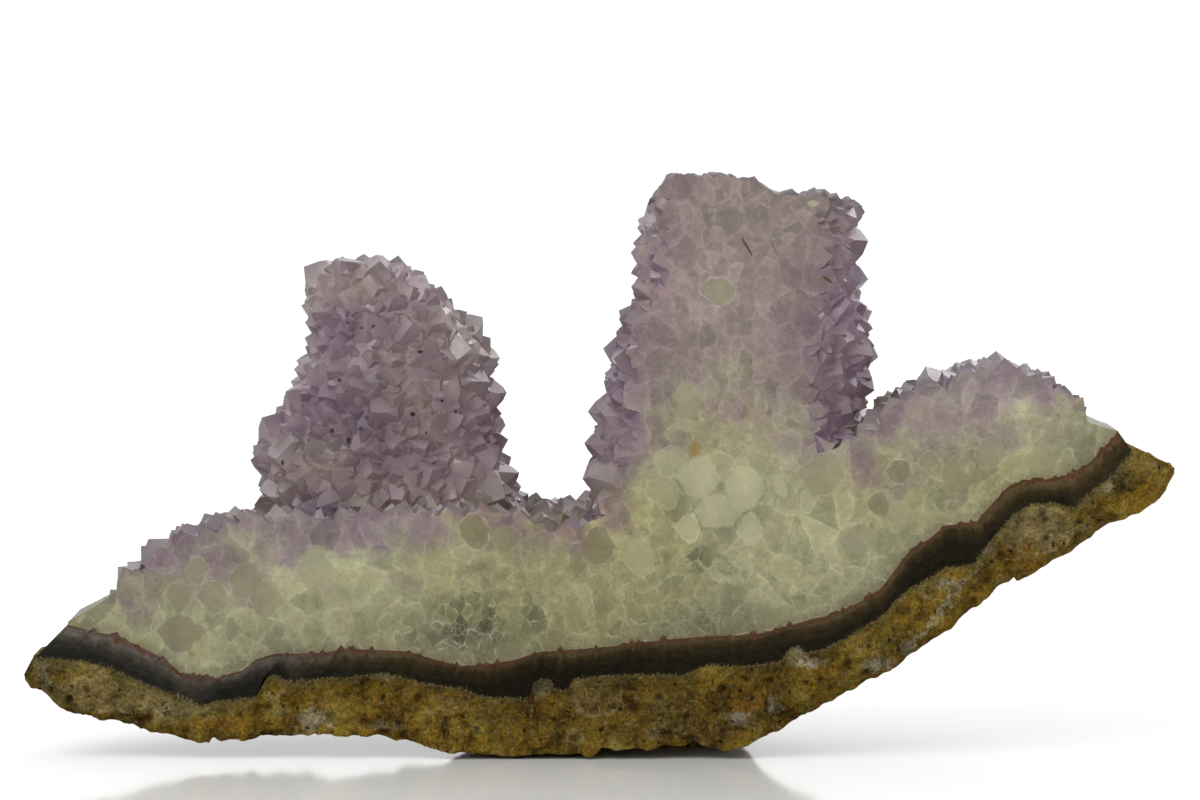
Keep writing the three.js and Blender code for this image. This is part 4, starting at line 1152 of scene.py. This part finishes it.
def weathered_basalt():
    made, tree = new_material("weathered basalt")
    solid, flat, (x, _, _) = places(tree)
    patch = add(tree, "TexNoise", {"Vector": solid, "Scale": 0.14, "Detail": 6.0, "Roughness": 0.7})
    base = layer_colour(tree, patch, ROT_COLOURS)
    bend = bent(tree, 4, flat, 0.4, 5.0, 0.75)
    warped = add(tree, "VectorMath ADD", flat, bend)
    far, *shares = nearest_spot(tree, warped, PATCHES)
    known = add(tree, "MapRange", far, 1.0, -1.4, 0.0, 0.85)
    shares = [add(tree, "Math MULTIPLY", share, known) for share in shares]
    base = coated(tree, base, *zip(shares, PATCH_COLOURS))
    base = streaked(tree, warped, base, VEINS, (0.9, -0.3), "#8f8970")
    slightly = add(tree, "VectorMath SCALE", {0: bend, 3: 0.35})
    slightly = add(tree, "VectorMath ADD", flat, slightly)
    (rim,) = nearest_spot(tree, slightly, RIMS)
    rim = add(tree, "Math ABSOLUTE", rim)
    rim = add(tree, "MapRange", rim, 0.6, 0.15, 0.0, 0.5)
    grit = add(tree, "TexNoise", {"Vector": solid, "Scale": 1.4, "Detail": 5.0, "Roughness": 0.85})
    bright = add(tree, "MapRange", grit, 0.34, 0.66, 0.25, 1.75)
    # Painted shade and light: the deeper a pit, the darker its colour, and the high parts between the pits
    # are painted lighter
    hollow = add(tree, "Attribute", out=2, attribute_name="hollow")
    hollow = add(tree, "MapRange", hollow, 0.4, 2.6, 1.5, 0.5)
    zones = soft_zones(tree, flat, BASALT_ZONES)
    pore = add(tree, "TexVoronoi", {"Vector": solid, "Scale": 0.4, "Randomness": 1.0})
    pore = add(tree, "Math ADD", pore, grit)
    pore = add(tree, "MapRange", pore, 0.72, 0.6, 0.0, 0.85)
    pale = uneven(tree, (0.54, 0.64), (0.0, 0.75), solid, 1.0, 5.0, 0.85)
    base = coated(tree, base, (rim, "#94875c"), bright, hollow, zones, (pore, "#100d06"), (pale, "#958a63"))

    # A fuzzy pale fringe along the agate, wider at the left
    under = add(tree, "Attribute", out=2, attribute_name="under_agate")
    hairs = add(tree, "VectorMath MULTIPLY", solid, (1.9, 1.0, 1.5))
    hairs = uneven(tree, (0.3, 0.7), (-1.5, 1.5), hairs, 1.0, 4.0, 0.8)
    hairs = add(tree, "Math ADD", hairs, under)
    wider = add(tree, "MapRange", x, -46.0, -72.0, 0.0, 1.6)
    hairs = add(tree, "Math SUBTRACT", hairs, wider)
    hairs = add(tree, "MapRange", hairs, 2.2, 0.2, 0.0, 0.7)
    base = coated(tree, base, (hairs, coated(tree, linear("#7e7446")[:3], bright)))

    rough = add(tree, "MapRange", grit, 0.0, 1.0, 0.85, 1.0)
    lumps = add(tree, "TexNoise", {"Vector": solid, "Scale": 0.3, "Detail": 3.0})
    lumps = add(tree, "Math MULTIPLY_ADD", lumps, 2.6, grit)
    bump = add(tree, "Bump", {"Height": lumps, "Distance": 0.0012, "Strength": 1.0})
    look = {"Base Color": base, "Roughness": rough, "Normal": bump, "Specular IOR Level": 0.08}
    add(tree, "OutputMaterial", add(tree, "BsdfPrincipled", look))
    return made


basalt.data.materials.append(weathered_basalt())
print("known patches on the basalt:", len(PATCHES))

# %% [markdown]
# ## Joining the frame
# Every piece rides on the one body of the frame and stands for its CAD node.
# %% Joining the frame
for piece, node, slot in (
    (basalt, "basalt_matrix", "basalt"),
    (agate, "agate_band", "agate"),
    (druse, "amethyst_druse", "amethyst"),
):
    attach(piece, "root")
    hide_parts(node)
print([o.name for o in (basalt, agate, druse)])

# %% [markdown]
# ## Camera, floor and light
# The photograph looks straight at the polished face from about 4 degrees up, through a long lens. A white
# floor in an evenly white room gives the same soft light, with one large lamp in front for the glints and
# one behind for the edges.
# %% Camera, floor and light
PIXEL = 0.2  # mm of the polished face to one pixel of the picture
PICTURE_WIDTH, MIDDLE_ROW, GROUND_ROW = 1200, 400, 763  # in pixels
ELEVATION = math.radians(4)
DISTANCE, SENSOR = 900, 36  # mm


def put(name, data, place, toward):
    """A camera or a lamp in the scene, turned to face that way."""
    made = bpy.data.objects.new(name, data)
    made.location = place
    made.rotation_mode = "QUATERNION"
    made.rotation_quaternion = toward.to_track_quat("-Z", "Y")
    bpy.context.scene.collection.objects.link(made)
    return made


target = Vector((SHIFT_X, SAW_Y, (GROUND_ROW - MIDDLE_ROW) * PIXEL)) * MM
back = Vector((0, -math.cos(ELEVATION), math.sin(ELEVATION)))
camera_data = bpy.data.cameras.new("camera")
camera_data.sensor_width = SENSOR
camera_data.lens = SENSOR * DISTANCE / (PICTURE_WIDTH * PIXEL)
camera_data.clip_start, camera_data.clip_end = 0.01, 50
bpy.context.scene.camera = put("camera", camera_data, target + back * DISTANCE * MM, -back)

floor_mesh = bpy.data.meshes.new("floor")
floor_mesh.from_pydata([(-9, -9, 0), (9, -9, 0), (9, 9, 0), (-9, 9, 0)], [], [(0, 1, 2, 3)])
floor = bpy.data.objects.new("floor", floor_mesh)
floor.location.z = -0.00005  # a hair under the foot
bpy.context.scene.collection.objects.link(floor)
paper, tree = new_material("glossy white card")
card = {"Base Color": linear("#d6d6d4"), "Roughness": 0.1}
add(tree, "OutputMaterial", add(tree, "BsdfPrincipled", card))
floor_mesh.materials.append(paper)

world = bpy.data.worlds.new("white room")
world.use_nodes = True
world.node_tree.nodes["Background"].inputs["Color"].default_value = (1, 1, 1, 1)
world.node_tree.nodes["Background"].inputs["Strength"].default_value = 1.15
bpy.context.scene.world = world

LAMPS_AIM = Vector((0, 0, 0.06))
for name, place, size, watts in (
    ("large soft lamp", (-0.5, -0.7, 0.9), 0.8, 7),
    ("back lamp", (0.4, 0.7, 0.8), 0.8, 4),
):
    light = bpy.data.lights.new(name, "AREA")
    light.shape, light.size, light.energy = "DISK", size, watts
    put(name, light, place, LAMPS_AIM - Vector(place))
bpy.context.scene.view_settings.view_transform = "Standard"
print("lens", round(camera_data.lens), "mm")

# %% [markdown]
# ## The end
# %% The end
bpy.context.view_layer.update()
